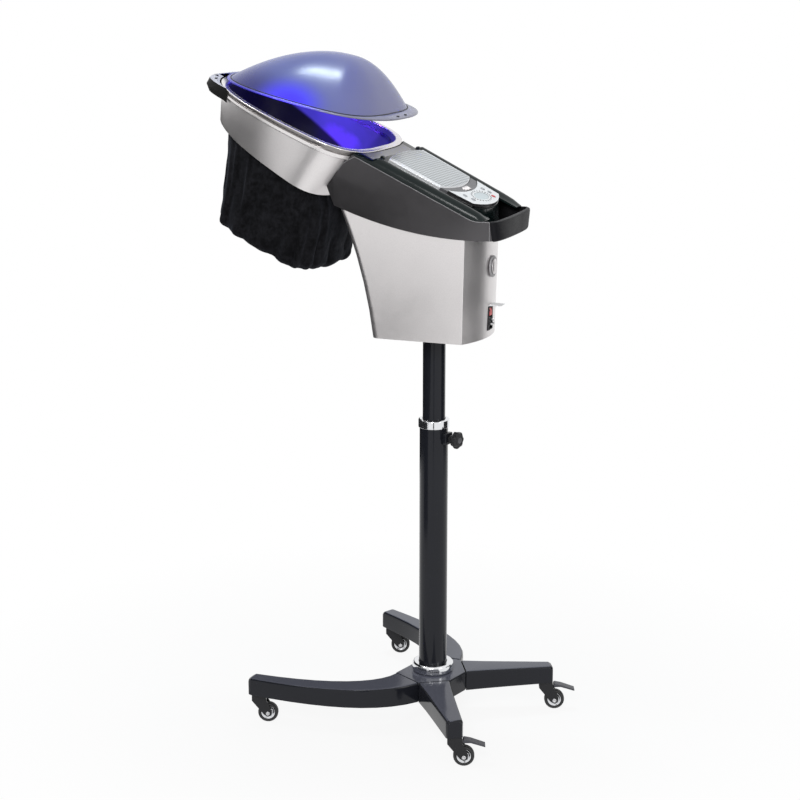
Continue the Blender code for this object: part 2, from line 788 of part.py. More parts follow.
def housing_outline(level, inset=0.0):
    """Plan of the lower housing at a level from 0, its floor, to 1, its top edge."""
    front = mix(HOUSING_FRONT_BOTTOM, HOUSING_FRONT_TOP, 0.43 * level + 0.57 * level * level) + inset
    crease = mix(HOUSING_CREASE_BOTTOM, HOUSING_CREASE_TOP, level)
    half = mix(HOUSING_HALF_WIDTH, HOUSING_HALF_WIDTH_TOP, level) - inset
    corner = HOUSING_FRONT_CORNER - inset
    points = [(front, half * k / 4) for k in range(4)]
    for k in range(5):
        angle = math.radians(90.0 * k / 4)
        x = front + corner * (1.0 - math.sin(angle))
        points.append((x, half - corner * (1.0 - math.cos(angle))))
    points[4:] = sorted(points[4:], key=lambda point: point[0])
    last = points[-1][0]
    points += [(mix(last, crease, k / 5), half) for k in range(1, 6)]
    points += [bowed(crease, half, HOUSING_BOW - inset, k / 6) for k in range(1, 7)]
    mirror = [(x, -y) for x, y in reversed(points[1:-1])]
    return points + mirror


def bowed(crease, half, bow, share):
    """Point on a bowed rear wall, from its crease at share 0 to the middle at share 1."""
    radius = (half * half + bow * bow) / (2.0 * bow)
    y = half * (1.0 - share)
    return (crease + bow - radius + math.copysign(math.sqrt(radius * radius - y * y), radius), y)


def housing_ring(level, inset=0.0):
    """Ring of the housing wall; its top edge follows the side panels."""
    top = [band_low(x) + BAND_LAP for x, _ in housing_outline(1.0)]
    plan = housing_outline(level, inset)
    return [Vector((x, y, mix(HOUSING_BOTTOM, top[i], level))) for i, (x, y) in enumerate(plan)]


def housing_rear(z):
    """Place along X of the middle of the rear wall at a height."""
    level = (z - HOUSING_BOTTOM) / (BAND_LOW_Z + BAND_LAP - HOUSING_BOTTOM)
    return mix(HOUSING_CREASE_BOTTOM, HOUSING_CREASE_TOP, level) + HOUSING_BOW


def build_housing(head):
    """Tub, its floor plate and the socket that turns on the mast."""
    outer = [housing_ring(k / 5) for k in range(6)]
    inner = [housing_ring(k / 2, HOUSING_WALL) for k in range(2, -1, -1)]
    tub = add_piece("lower_housing", loft(outer + inner, closed=True), silver(), head)
    low = (0.0, -INLET_HALF_WIDTH - FIT, INLET_LOW - FIT)
    high = (2 * HOUSING_CREASE_TOP, INLET_HALF_WIDTH + FIT, INLET_HIGH + FIT)
    combine(tub, add_cutter("inlet_cutter", box(low, high), head))

    plan = housing_outline(0.0, HOUSING_WALL + FIT)
    low = HOUSING_BOTTOM + FIT
    high = HOUSING_BOTTOM + FLOOR_THICKNESS
    rings = [[Vector((x, y, z)) for x, y in plan] for z in (low, high)]
    plate = add_piece("bottom_plate", loft(rings), matte_black(), head)
    hole = lathe(disc_profile(MAST_RADIUS + SOCKET_WALL + FIT, low - 0.01, high + 0.01))
    combine(plate, add_cutter("plate_hole_cutter", hole, head))

    outer_radius = MAST_RADIUS + SOCKET_WALL
    seat = high + FIT
    cap = MAST_TOP + FIT
    socket = [
        (0.0, cap + SOCKET_CAP),
        (outer_radius, cap + SOCKET_CAP),
        (outer_radius, seat + SOCKET_FLANGE_THICKNESS),
        (SOCKET_FLANGE, seat + SOCKET_FLANGE_THICKNESS),
        (SOCKET_FLANGE, seat),
        (outer_radius, seat),
        (outer_radius, low),
        (MAST_RADIUS + FIT, low),
        (MAST_RADIUS + FIT, cap),
        (0.0, cap),
    ]
    add_piece("mast_socket", lathe(socket), steel(), head)


def band_top(x):
    """Height of the side panels' upper edge, under the deck's rails and level at the handle."""
    return max(deck_height(x, -RAIL_DROP - FIT), HANDLE_TOP)


def rail_drop(u):
    """Drop of a rail's outer wall under the deck's plane, less where the side panels turn level."""
    room = DECK_Z - u * math.sin(DECK_TILT) - HANDLE_TOP - FIT
    return min(RAIL_DROP, room / math.cos(DECK_TILT))


def rail_level_u():
    """Place along the deck where the rails' lower edge turns level."""
    fall = DECK_Z - RAIL_DROP * math.cos(DECK_TILT) - HANDLE_TOP - FIT
    return fall / math.sin(DECK_TILT)


def band_half(x):
    """Half width at the side panels' upper edge."""
    return deck_half(x / math.cos(DECK_TILT))


def band_low_half():
    return HOUSING_HALF_WIDTH_TOP + FIT + BAND_WALL + FIT


def build_side_panels(head, envelope):
    """Left and right panels, cut to the hood's rear wall."""
    level_x = (deck_height(0.0, -RAIL_DROP - FIT) - HANDLE_TOP) / math.tan(DECK_TILT)
    stops = [mix(BAND_FRONT_TOP, level_x, k / 12) for k in range(13)] + [SEAM_X]
    for hand, side in (("left", -1), ("right", 1)):
        rings = []
        for x_top in stops:
            share = (x_top - BAND_FRONT_TOP) / (SEAM_X - BAND_FRONT_TOP)
            x_low = mix(HOUSING_FRONT_TOP, SEAM_X, share)
            low, top = band_low(x_low), band_top(x_top)
            y_low, y_top = band_low_half(), band_half(x_top)
            x_mid, z_mid = (x_low + x_top) / 2, (low + top) / 2
            y_mid = (y_low + y_top) / 2 + 0.002
            ring = [
                (x_low, y_low, low),
                (x_mid, y_mid, z_mid),
                (x_top, y_top, top),
                (x_top, y_top - BAND_WALL, top),
                (x_mid, y_mid - BAND_WALL, z_mid),
                (x_low, y_low - BAND_WALL, low),
            ]
            rings.append([Vector((x, side * y, z)) for x, y, z in ring])
        panel = add_piece(f"side_panel_{hand}", loft(rings), grey(), head)
        combine(panel, envelope)


def handle_point(angle, inset, z):
    """Point of the handle at an angle from its middle, inset from its outer face, at a height."""
    power = 2.0 / HANDLE_POWER
    rise = (z - BAND_LOW_Z) / (HANDLE_TOP - BAND_LOW_Z)
    half = mix(band_low_half(), band_half(SEAM_X), rise) - inset
    start = SEAM_X + FIT
    x = start + (HANDLE_APEX - start - inset) * abs(math.cos(angle)) ** power
    y = math.copysign(half * abs(math.sin(angle)) ** power, angle)
    return Vector((x, y, z))


def build_handle(head):
    """Rounded grab handle, swept in a shallow U from one side panel to the other."""
    corners = (
        (HANDLE_ROUND, HANDLE_TOP - HANDLE_ROUND, 90.0),
        (HANDLE_ROUND, BAND_LOW_Z + HANDLE_ROUND, 180.0),
        (HANDLE_THICKNESS - HANDLE_ROUND, BAND_LOW_Z + HANDLE_ROUND, 270.0),
        (HANDLE_THICKNESS - HANDLE_ROUND, HANDLE_TOP - HANDLE_ROUND, 0.0),
    )
    section = []
    for inset, z, first in corners:
        for k in range(3):
            angle = math.radians(first + 45.0 * k)
            section.append((inset + HANDLE_ROUND * math.cos(angle), z + HANDLE_ROUND * math.sin(angle)))
    steps = 20
    rings = []
    for k in range(-steps // 2, steps // 2 + 1):
        angle = math.pi * k / steps
        rings.append([handle_point(angle, inset, z) for inset, z in section])
    add_piece("rear_handle", loft(rings), matte_black(), head)


def deck_section(u, rail, drop):
    """Cross-section of the deck: round rails that turn down over the side panels, plate between."""
    w = deck_half(u)
    skirt = rail_drop(u)
    crest = rail - drop
    side = []
    for k in range(6):
        angle = math.radians(18.0 * k)
        rise = (crest + skirt) * math.sin(angle)
        side.append((-w + RAIL_CREST * (1.0 - math.cos(angle)), rise - skirt))
    for k in range(1, 5):
        share = k / 4
        fall = rail * (1.0 + math.cos(math.pi * share)) / 2
        side.append((-w + mix(RAIL_CREST, RAIL_WIDTH, share), fall - drop))
    lip = w - BAND_WALL - 2 * RUN
    floor = -min(DECK_FLOOR + drop, skirt)
    below = [(lip, -skirt), (lip, floor), (-lip, floor), (-lip, -skirt)]
    outline = side + [(-v, n) for v, n in reversed(side)] + below
    return [deck_point(u, v, n) for v, n in outline]


def console_outline(u_corner, u_apex, half, steps=12):
    """Bowed edge across the deck, from one side to the other."""
    points = []
    for k in range(-steps // 2, steps // 2 + 1):
        share = 2.0 * k / steps
        u, _ = bowed(u_corner, half, u_apex - u_corner, 1.0 - abs(share))
        points.append((u, share * half))
    return points


def deck_prism(outline, low, high):
    """Outline in the deck's plane, between two heights above it."""
    return loft([[deck_point(u, v, n) for u, v in outline] for n in (low, high)])


def rounded_box_outline(u_low, u_high, half, corner, steps=3):
    """Rectangle with round corners in the deck's plane."""
    points = []
    centres = (
        (u_high - corner, half - corner, 0.0),
        (u_low + corner, half - corner, 90.0),
        (u_low + corner, corner - half, 180.0),
        (u_high - corner, corner - half, 270.0),
    )
    for u, v, start in centres:
        for k in range(steps + 1):
            angle = math.radians(start + 90.0 * k / steps)
            points.append((u + corner * math.cos(angle), v + corner * math.sin(angle)))
    return points


def build_deck(head, envelope):
    """Sloping deck with its rails, tank opening and bowed console wall."""
    stations = [
        (DECK_FRONT_U, 0.0006, APRON_DROP),
        (APRON_U, 0.0006, APRON_DROP),
        (APRON_U + APRON_RAMP, 0.3 * RAIL_HEIGHT, 0.0),
        (APRON_U + 3 * APRON_RAMP, RAIL_HEIGHT, 0.0),
        (0.0, RAIL_HEIGHT, 0.0),
        (CONSOLE_CORNER_U, RAIL_HEIGHT, 0.0),
        (rail_level_u(), 0.85 * RAIL_HEIGHT, 0.0),
        (DECK_REAR_U, 0.15 * RAIL_HEIGHT, 0.0),
    ]
    deck = add_piece("top_deck", loft([deck_section(*s) for s in stations]), gloss_black(), head)

    half = deck_half(CONSOLE_CORNER_U) - RAIL_WIDTH
    edge = console_outline(CONSOLE_CORNER_U, CONSOLE_APEX_U, half)
    behind = 2 * DECK_REAR_U
    well = [(behind, -half)] + edge + [(behind, half)]
    combine(deck, add_cutter("well_cutter", deck_prism(well, -0.05, 0.05), head))

    wall_half = HOUSING_HALF_WIDTH_TOP - FIT
    apex_top = CONSOLE_APEX_U * math.cos(DECK_TILT) - RUN
    corner_top = HOUSING_CREASE_TOP
    apex_low = housing_rear(BAND_LOW_Z + BAND_LAP) - FIT
    steps = 12
    low_ring, high_ring = [], []
    for inset, order in ((0.0, 1), (CONSOLE_WALL, -1)):
        for k in range(-steps // 2, steps // 2 + 1):
            share = order * 2.0 * k / steps
            y = share * (wall_half - inset)
            x_low, _ = bowed(corner_top, wall_half, apex_low - corner_top, 1.0 - abs(share))
            x_top, _ = bowed(corner_top, wall_half, apex_top - corner_top, 1.0 - abs(share))
            low_ring.append(Vector((x_low - inset, y, band_low(x_low) + BAND_LAP + FIT)))
            high_ring.append(Vector((x_top - inset, y, deck_height(x_top - inset, -DECK_FLOOR / 2))))
    wall = add_cutter("console_wall", loft([low_ring, high_ring]), head)
    combine(deck, wall, "UNION")

    opening = rounded_box_outline(
        TANK_FRONT_U - FIT, TANK_REAR_U + FIT, TANK_HALF_WIDTH + FIT, 0.012
    )
    combine(deck, add_cutter("tank_cutter", deck_prism(opening, -0.03, 0.03), head))
    combine(deck, envelope)


def cover_outline(inset=0.0):
    """Outline of the tank cover: bowed at both ends."""
    front = console_outline(COVER_FRONT_U + inset, COVER_FRONT_APEX_U + inset, COVER_HALF_FRONT - inset)
    rear = console_outline(COVER_REAR_U - inset, COVER_REAR_APEX_U - inset, COVER_HALF_REAR - inset)
    return rear + list(reversed(front))


def build_cover(head):
    """Crowned tank cover, hollow underneath, hinged along its front edge."""
    outline = cover_outline()
    middle = (COVER_FRONT_U + COVER_REAR_U) / 2
    rings = [[deck_point(u, v, FIT) for u, v in outline]]
    rings.append([deck_point(u, v, TOP_THICKNESS - 0.002) for u, v in outline])
    for scale, height in ((0.975, 0.0), (0.85, 0.45), (0.6, 0.8), (0.3, 0.97)):
        n = TOP_THICKNESS + COVER_CROWN * height
        rings.append([deck_point(middle + (u - middle) * scale, v * scale, n) for u, v in outline])
    rings.append([deck_point(middle, 0.0, TOP_THICKNESS + COVER_CROWN)])
    hinge = deck_point(*cover_hinge())
    cover = add_piece("tank_cover", loft(rings), silver(), head, hinge)
    hollow = deck_prism(cover_outline(COVER_BORDER), -0.01, TOP_THICKNESS - COVER_SKIN)
    combine(cover, add_cutter("cover_hollow_cutter", hollow, head))


def cover_hinge():
    """Middle of the cover's hinge axis in the deck's frame."""
    return (COVER_FRONT_APEX_U, 0.0, TOP_THICKNESS / 2)


def build_panel(head):
    """Latch bezel with its button, and the control panel with display and buttons."""
    gap = SEAM_GAP
    front = console_outline(COVER_REAR_U + gap, COVER_REAR_APEX_U + gap, COVER_HALF_REAR)
    rear = console_outline(BEZEL_REAR_U, BEZEL_REAR_APEX_U, BEZEL_HALF_REAR)
    bezel_solid = deck_prism(rear + list(reversed(front)), FIT, BEZEL_THICKNESS)
    bezel = add_piece("latch_bezel", bezel_solid, grey(), head)
    half = LATCH_LENGTH / 2
    opening = rounded_box_outline(LATCH_U - half - FIT, LATCH_U + half + FIT, LATCH_WIDTH / 2 + FIT, 0.002)
    combine(bezel, add_cutter("latch_cutter", deck_prism(opening, -0.02, 0.03), head))
    outline = rounded_box_outline(LATCH_U - half, LATCH_U + half, LATCH_WIDTH / 2, 0.002 - FIT)
    low, high = BEZEL_THICKNESS - BUTTON_STEM + RUN, BEZEL_THICKNESS + BUTTON_PROUD
    add_piece("latch_button", deck_prism(outline, low, high), silver(), head, deck_point(LATCH_U, 0.0, low))

    front = console_outline(BEZEL_REAR_U + FIT, BEZEL_REAR_APEX_U + FIT, BEZEL_HALF_REAR)
    rear = console_outline(CONSOLE_CORNER_U - RUN, CONSOLE_APEX_U - RUN, PANEL_HALF_REAR)
    outline = rear + list(reversed(front))
    panel = add_piece("control_panel", deck_prism(outline, FIT, TOP_THICKNESS), silver(), head)
    window = [
        (DISPLAY_U + DISPLAY_HALF_LENGTH * math.cos(a), DISPLAY_HALF_WIDTH * math.sin(a))
        for a in (2.0 * math.pi * k / 32 for k in range(32))
    ]
    pocket = deck_prism(grown(window, FIT), TOP_THICKNESS - DISPLAY_DEPTH, TOP_THICKNESS + 0.01)
    combine(panel, add_cutter("display_cutter", pocket, head))
    low = TOP_THICKNESS - DISPLAY_DEPTH + FIT
    glass = make_material("display_glass", (0.62, 0.72, 0.74), 0.12)
    add_piece("display_window", deck_prism(window, low, TOP_THICKNESS - FIT), glass, head)

    for name, (u, v) in zip(BUTTON_NAMES, BUTTON_PLACES):
        hole = button_solid(BUTTON_RADIUS + FIT, -0.02, 0.03, u, v)
        combine(panel, add_cutter(f"cutter_{name}", hole, head))
        low, high = TOP_THICKNESS - BUTTON_STEM, TOP_THICKNESS + BUTTON_PROUD
        red = make_material("red_plastic", (0.62, 0.03, 0.03), 0.35)
        finish = red if name == "button_power" else pale()
        cap = button_solid(BUTTON_RADIUS, low, high, u, v)
        add_piece(name, cap, finish, head, deck_point(u, v, low))


def grown(outline, extra):
    """Outline scaled about its middle so that it gains about the given margin."""
    middle = sum(u for u, _ in outline) / len(outline)
    reach_u = max(u for u, _ in outline) - middle
    reach_v = max(v for _, v in outline)
    return [(middle + (u - middle) * (1 + extra / reach_u), v * (1 + extra / reach_v)) for u, v in outline]


def button_solid(radius, low, high, u, v, sides=16):
    """Round button or its hole, standing out of the deck's plane."""
    ring = [(u + radius * math.cos(a), v + radius * math.sin(a))
            for a in (2.0 * math.pi * k / sides for k in range(sides))]
    return deck_prism(ring, low, high)


# Inside the body


def build_inner(head):
    """Water tank, control board, boiler and the steam pipe to the hood."""
    outer = rounded_box_outline(TANK_FRONT_U, TANK_REAR_U, TANK_HALF_WIDTH, 0.012 - FIT)
    flange = rounded_box_outline(
        TANK_FRONT_U - TANK_FLANGE, TANK_REAR_U + TANK_FLANGE, TANK_HALF_WIDTH + TANK_FLANGE, 0.016
    )
    wall = TANK_WALL
    hollow = rounded_box_outline(TANK_FRONT_U + wall, TANK_REAR_U - wall, TANK_HALF_WIDTH - wall, 0.010)
    levels = [
        (outer, -TANK_DEPTH),
        (outer, FIT),
        (flange, FIT),
        (flange, FIT + TANK_FLANGE_THICKNESS),
        (hollow, FIT + TANK_FLANGE_THICKNESS),
        (hollow, wall - TANK_DEPTH),
    ]
    tank = loft([[deck_point(u, v, n) for u, v in outline] for outline, n in levels])
    clear = make_material("clear_plastic", (0.75, 0.80, 0.84), 0.15, 0.0, 0.6)
    add_piece("water_tank", tank, clear, head)

    plan = rounded_box_outline(BOARD_FRONT_U, BOARD_REAR_U, BOARD_HALF_WIDTH, 0.003)
    high = -DECK_FLOOR - FIT
    green = make_material("circuit_board", (0.02, 0.16, 0.07), 0.5)
    add_piece("control_board", deck_prism(plan, high - BOARD_THICKNESS, high), green, head)

    low = HOUSING_BOTTOM + FLOOR_THICKNESS + FIT
    top = low + BOILER_HEIGHT
    profile = [
        (0.0, low),
        (BOILER_RADIUS, low),
        (BOILER_RADIUS, top - 0.014),
        (0.8 * BOILER_RADIUS, top - 0.004),
        (SPOUT_RADIUS, top),
        (SPOUT_RADIUS, top + SPOUT_HEIGHT),
        (0.0, top + SPOUT_HEIGHT),
    ]
    boiler = moved(lathe(profile, 24), (BOILER_X, BOILER_Y, 0.0))
    add_piece("boiler", boiler, steel(), head)

    place, inward = nozzle_axis()
    mouth = place - inward * (NOZZLE_OUTSIDE + FIT)
    spout = Vector((BOILER_X, BOILER_Y, top + SPOUT_HEIGHT + FIT))
    knots = [
        spout,
        spout + Vector((0.0, 0.0, 0.030)),
        spout.lerp(mouth, 0.40) + Vector((0.0, 0.0, 0.006)),
        mouth - inward * 0.045,
        mouth,
    ]
    rubber = make_material("hose_rubber", (0.30, 0.30, 0.32), 0.6)
    add_piece("steam_pipe", pipe_solid(smooth_path(knots, 4), inward), rubber, head)


def pipe_solid(path, last_heading, sides=12):
    """Round hose along a path that starts upright and ends square to the given heading."""
    rings = []
    for k, centre in enumerate(path):
        heading = path[min(k + 1, len(path) - 1)] - path[max(k - 1, 0)]
        if k == 0:
            heading = Vector((0.0, 0.0, 1.0))
        if k == len(path) - 1:
            heading = last_heading
        heading = heading.normalized()
        across = Vector((0.0, 1.0, 0.0))
        across = (across - heading * across.dot(heading)).normalized()
        third = heading.cross(across)
        ring = []
        for i in range(sides):
            angle = 2.0 * math.pi * i / sides
            ring.append(centre + (across * math.cos(angle) + third * math.sin(angle)) * PIPE_RADIUS)
        rings.append(ring)
    return loft(rings)


def smooth_path(knots, steps):
    """Points on a smooth curve through the knots."""
    ends = [knots[0] * 2 - knots[1]] + knots + [knots[-1] * 2 - knots[-2]]
    path = []
    for a, b, c, d in zip(ends, ends[1:], ends[2:], ends[3:]):
        for k in range(steps):
            t = k / steps
            path.append(
                (b * 2 + (c - a) * t + (a * 2 - b * 5 + c * 4 - d) * t * t
                 + (b * 3 - a - c * 3 + d) * t ** 3) / 2
            )
    path.append(knots[-1])
    return path


def build_rear_fittings(head):
    """Round cap, power inlet with its rocker switch, and the splash flap."""
    rear = housing_rear(CAP_Z + CAP_RADIUS)
    profile = [
        (0.0, 0.0),
        (CAP_RADIUS, 0.0),
        (CAP_RADIUS, CAP_THICKNESS - 0.001),
        (CAP_RADIUS - 0.0012, CAP_THICKNESS),
        (0.82 * CAP_RADIUS, CAP_THICKNESS),
        (0.78 * CAP_RADIUS, CAP_THICKNESS - 0.0012),
        (0.0, CAP_THICKNESS - 0.0004),
    ]
    cap = moved(aimed(lathe(profile, 28), (1.0, 0.0, 0.0)), (rear + FIT, 0.0, CAP_Z))
    add_piece("rear_cap", cap, chrome(), head)

    face = housing_rear((INLET_LOW + INLET_HIGH) / 2) + INLET_PROUD
    inlet_solid = box((face - INLET_DEPTH, -INLET_HALF_WIDTH, INLET_LOW), (face, INLET_HALF_WIDTH, INLET_HIGH))
    inlet = add_piece("power_inlet", inlet_solid, matte_black(), head)
    switch_z = INLET_HIGH - INLET_LIP - FIT - SWITCH_HEIGHT / 2
    half = SWITCH_HALF_WIDTH + RUN
    reach = SWITCH_HEIGHT / 2 + FIT + RUN
    pocket = box((face - INLET_POCKET, -half, switch_z - reach), (face + 0.01, half, switch_z + reach - RUN))
    combine(inlet, add_cutter("switch_pocket", pocket, head))
    socket_low = (face - INLET_POCKET, INLET_LIP - INLET_HALF_WIDTH, INLET_LOW + INLET_LIP)
    socket_high = (face + 0.01, INLET_HALF_WIDTH - INLET_LIP, switch_z - reach - INLET_LIP)
    combine(inlet, add_cutter("socket_pocket", box(socket_low, socket_high), head))

    pivot_x = face - 0.0060
    half_height = SWITCH_HEIGHT / 2
    swing = half_height * math.tan(SWITCH_TILT)
    outline = [
        (pivot_x - 0.0030, switch_z - half_height * 0.55),
        (face - 0.0005 + swing, switch_z - half_height * 0.86),
        (face + 0.0004, switch_z),
        (face - 0.0005 - swing, switch_z + half_height * 0.86),
        (pivot_x - 0.0030, switch_z + half_height * 0.55),
    ]
    red = make_material("red_plastic", (0.62, 0.03, 0.03), 0.35)
    rocker = extruded_side(outline, SWITCH_HALF_WIDTH)
    add_piece("power_switch", rocker, red, head, (pivot_x, 0.0, switch_z))

    hinge_z = INLET_HIGH + FLAP_BARREL + 0.0015
    hinge_x = max(housing_rear(hinge_z), face) + FLAP_BARREL + FIT
    outline = []
    for k in range(8):
        angle = math.radians(45.0 + 38.0 * k)
        outline.append((hinge_x + FLAP_BARREL * math.cos(angle), hinge_z + FLAP_BARREL * math.sin(angle)))
    half = FLAP_THICKNESS / 2
    outline += [(hinge_x + FLAP_LENGTH, hinge_z - half), (hinge_x + FLAP_LENGTH, hinge_z + half)]
    flap = extruded_side(outline, FLAP_HALF_WIDTH)
    add_piece("inlet_flap", flap, pale(), head, (hinge_x, 0.0, hinge_z))


# Hood


def egg(front, rear, half_width, count):
    """Egg-shaped outline: blunt towards the rear, rounder in front."""
    points = []
    for k in range(count):
        angle = 2.0 * math.pi * k / count
        c, s = math.cos(angle), math.sin(angle)
        power = 2.0 / (HOOD_REAR_POWER if c > 0 else HOOD_FRONT_POWER)
        reach = rear if c > 0 else front
        u = math.copysign(reach * abs(c) ** power, c) if abs(c) > 1e-9 else 0.0
        v = math.copysign(half_width * abs(s) ** power, s) if abs(s) > 1e-9 else 0.0
        points.append((u, v))
    return points


def hood_ring(level, offset=0.0, rise=0.0, count=HOOD_SIDES):
    """Ring of the hood wall at a level from 0, the rim, to 1, the lower edge."""
    tilt = mix(RIM_TILT, HEM_TILT, level)
    c, s = math.cos(tilt), math.sin(tilt)
    x0 = mix(RIM_CENTRE[0], HEM_CENTRE[0], level)
    z0 = mix(RIM_CENTRE[1], HEM_CENTRE[1], level)
    outline = egg(
        mix(RIM_FRONT, HEM_FRONT, level) + offset,
        mix(RIM_REAR, HEM_REAR, level) + offset,
        mix(RIM_HALF_WIDTH, HEM_HALF_WIDTH, level) + offset,
        count,
    )
    return [Vector((x0 + u * c + rise * s, v, z0 - u * s + rise * c)) for u, v in outline]


def rim_level(depth):
    """Level of the hood wall at a depth under the rim plane."""
    drop = Vector((RIM_CENTRE[0] - HEM_CENTRE[0], RIM_CENTRE[1] - HEM_CENTRE[1]))
    normal = Vector((math.sin(RIM_TILT), math.cos(RIM_TILT)))
    return depth / drop.dot(normal)


def build_envelope(head):
    """Outer shape of the hood with a margin, used to trim what stands behind it."""
    margin = 2 * FIT
    step = rim_level(RIM_DEPTH + 2 * FIT)
    rings = [
        hood_ring(0.0, RIM_STEP + margin, 0.05),
        hood_ring(0.0, RIM_STEP + margin, 0.0),
        hood_ring(step, RIM_STEP + margin),
        hood_ring(step + 0.01, margin),
        hood_ring(0.5, margin),
        hood_ring(1.0, margin),
    ]
    return add_cutter("hood_envelope", loft(rings), head)


def nozzle_axis():
    """Place where the steam nozzle crosses the hood's rear wall, and its way into the hood."""
    place = hood_ring(NOZZLE_SHARE)[0]
    above, below = hood_ring(NOZZLE_SHARE - 0.1)[0], hood_ring(NOZZLE_SHARE + 0.1)[0]
    along = (below - above).normalized()
    inward = Vector((along.z, 0.0, -along.x))
    return place, inward


def nozzle_bore(radius):
    """Solid along the nozzle's axis, from well outside the wall to well inside."""
    place, inward = nozzle_axis()
    reach = NOZZLE_INSIDE + 0.02
    return moved(aimed(lathe(disc_profile(radius, -reach, reach), 24), inward), place)


def build_hood(head):
    """Wall, stepped rim, dark liner, light strip and steam nozzle."""
    seat = RIM_TOP - RIM_SKIN - FIT
    outer = [hood_ring(0.0, 0.0, seat), hood_ring(0.5), hood_ring(1.0)]
    wall = -HOOD_WALL
    inner = [hood_ring(1.0, wall), hood_ring(0.5, wall), hood_ring(0.0, wall, seat)]
    shell = add_piece("hood_shell", loft(outer + inner, closed=True), silver(), head)
    cutter = add_cutter("nozzle_cutter", nozzle_bore(NOZZLE_RADIUS + FIT), head)
    combine(shell, cutter)

    low = rim_level(RIM_DEPTH)
    under = RIM_TOP - RIM_SKIN
    rim = [
        hood_ring(0.0, -RIM_INNER, under),
        hood_ring(0.0, -RIM_INNER, RIM_TOP),
        hood_ring(0.0, RIM_STEP - 0.002, RIM_TOP),
        hood_ring(0.0, RIM_STEP, RIM_TOP - 0.002),
        hood_ring(low, RIM_STEP),
        hood_ring(low, 2 * FIT),
        hood_ring(0.0, 2 * FIT, under),
    ]
    add_piece("hood_rim", loft(rim, closed=True), silver(), head)

    back = -HOOD_WALL - LINER_GAP
    face = back - LINER_WALL
    touch = -HOOD_WALL - FIT
    liner = [
        hood_ring(0.0, face, seat),
        hood_ring(0.0, back, seat),
        hood_ring(0.5, back),
        hood_ring(0.93, back),
        hood_ring(0.96, touch),
        hood_ring(1.0, touch),
        hood_ring(1.0, face),
        hood_ring(0.5, face),
    ]
    dark = make_material("liner_plastic", (0.020, 0.020, 0.030), 0.45)
    combine(add_piece("hood_liner", loft(liner, closed=True), dark, head), cutter)

    high = rim_level(STRIP_DROP)
    low = rim_level(STRIP_DROP + STRIP_DEPTH)
    near = face - FIT
    far = near - STRIP_THICKNESS
    strip = [hood_ring(high, near), hood_ring(high, far), hood_ring(low, far), hood_ring(low, near)]
    light = make_material("light_strip", (0.10, 0.12, 0.90), 0.30)
    add_piece("light_strip", loft(strip, closed=True), light, head)

    place, inward = nozzle_axis()
    profile = [
        (NOZZLE_BORE, -NOZZLE_OUTSIDE),
        (NOZZLE_RADIUS, -NOZZLE_OUTSIDE),
        (NOZZLE_RADIUS, NOZZLE_INSIDE),
        (NOZZLE_BORE, NOZZLE_INSIDE),
    ]
    nozzle = moved(aimed(lathe(profile, 24, True), inward), place)
    add_piece("steam_nozzle", nozzle, matte_black(), head)


def build_lip(head):
    """Front lip along the rim, notched for the visor's knuckle, with the hinge pin."""
    steps = 16
    rings = []
    for k in range(-steps // 2, steps // 2 + 1):
        y = LIP_HALF_WIDTH * 2.0 * k / steps
        past = max(0.0, abs(y) - LIP_FULL_HALF) / (LIP_HALF_WIDTH - LIP_FULL_HALF)
        reach = 1.0 - (1.0 - LIP_TIP_SHARE) * past**LIP_TAPER_POWER
        share = (abs(y) / (RIM_HALF_WIDTH + RIM_STEP)) ** HOOD_FRONT_POWER
        u = -(RIM_FRONT + RIM_STEP) * (1.0 - share) ** (1.0 / HOOD_FRONT_POWER) - 2 * FIT
        x = RIM_CENTRE[0] + u * math.cos(RIM_TILT)
        z = RIM_CENTRE[1] - u * math.sin(RIM_TILT)
        lean = math.tan(RIM_TILT)
        section = [
            (0.0, 0.001),
            (-0.30 * LIP_REACH, 0.0055),
            (-0.74 * LIP_REACH, 0.0045),
            (-LIP_REACH, -0.36 * LIP_HEIGHT),
            (-0.86 * LIP_REACH, 0.004 - LIP_HEIGHT),
            (-LIP_HEIGHT * lean - 0.003, 0.002 - LIP_HEIGHT),
        ]
        rings.append([Vector((x + dx * reach, y, z + dz)) for dx, dz in section])
    lip = add_piece("front_lip", loft(rings), silver(), head)
    room = KNUCKLE_RADIUS + RUN
    low = (HINGE_X - room, -KNUCKLE_HALF - RUN, HINGE_Z - room)
    high = (HINGE_X + 0.05, KNUCKLE_HALF + RUN, HINGE_Z + 0.05)
    combine(lip, add_cutter("knuckle_cutter", box(low, high), head))
    hole = disc_profile(HINGE_PIN_RADIUS + FIT, -HINGE_PIN_HALF - FIT, HINGE_PIN_HALF + FIT)
    bore = moved(aimed(lathe(hole, 20), (0.0, 1.0, 0.0)), (HINGE_X, 0.0, HINGE_Z))
    combine(lip, add_cutter("pin_cutter", bore, head))
    pin = disc_profile(HINGE_PIN_RADIUS, -HINGE_PIN_HALF, HINGE_PIN_HALF)
    pin_solid = moved(aimed(lathe(pin, 20), (0.0, 1.0, 0.0)), (HINGE_X, 0.0, HINGE_Z))
    add_piece("hinge_pin", pin_solid, steel(), head)


def visor_ring(front, rear, half_width, rise):
    """Ring in the rim's plane, swung open about the hinge."""
    c, s = math.cos(RIM_TILT), math.sin(RIM_TILT)
    swing = Matrix.Rotation(-VISOR_OPEN, 3, "Y")
    hinge = Vector((HINGE_X, 0.0, HINGE_Z))
    ring = []
    for u, v in egg(front, rear, half_width, HOOD_SIDES):
        point = Vector((RIM_CENTRE[0] + u * c + rise * s, v, RIM_CENTRE[1] - u * s + rise * c))
        ring.append(hinge + swing @ (point - hinge))
    return ring


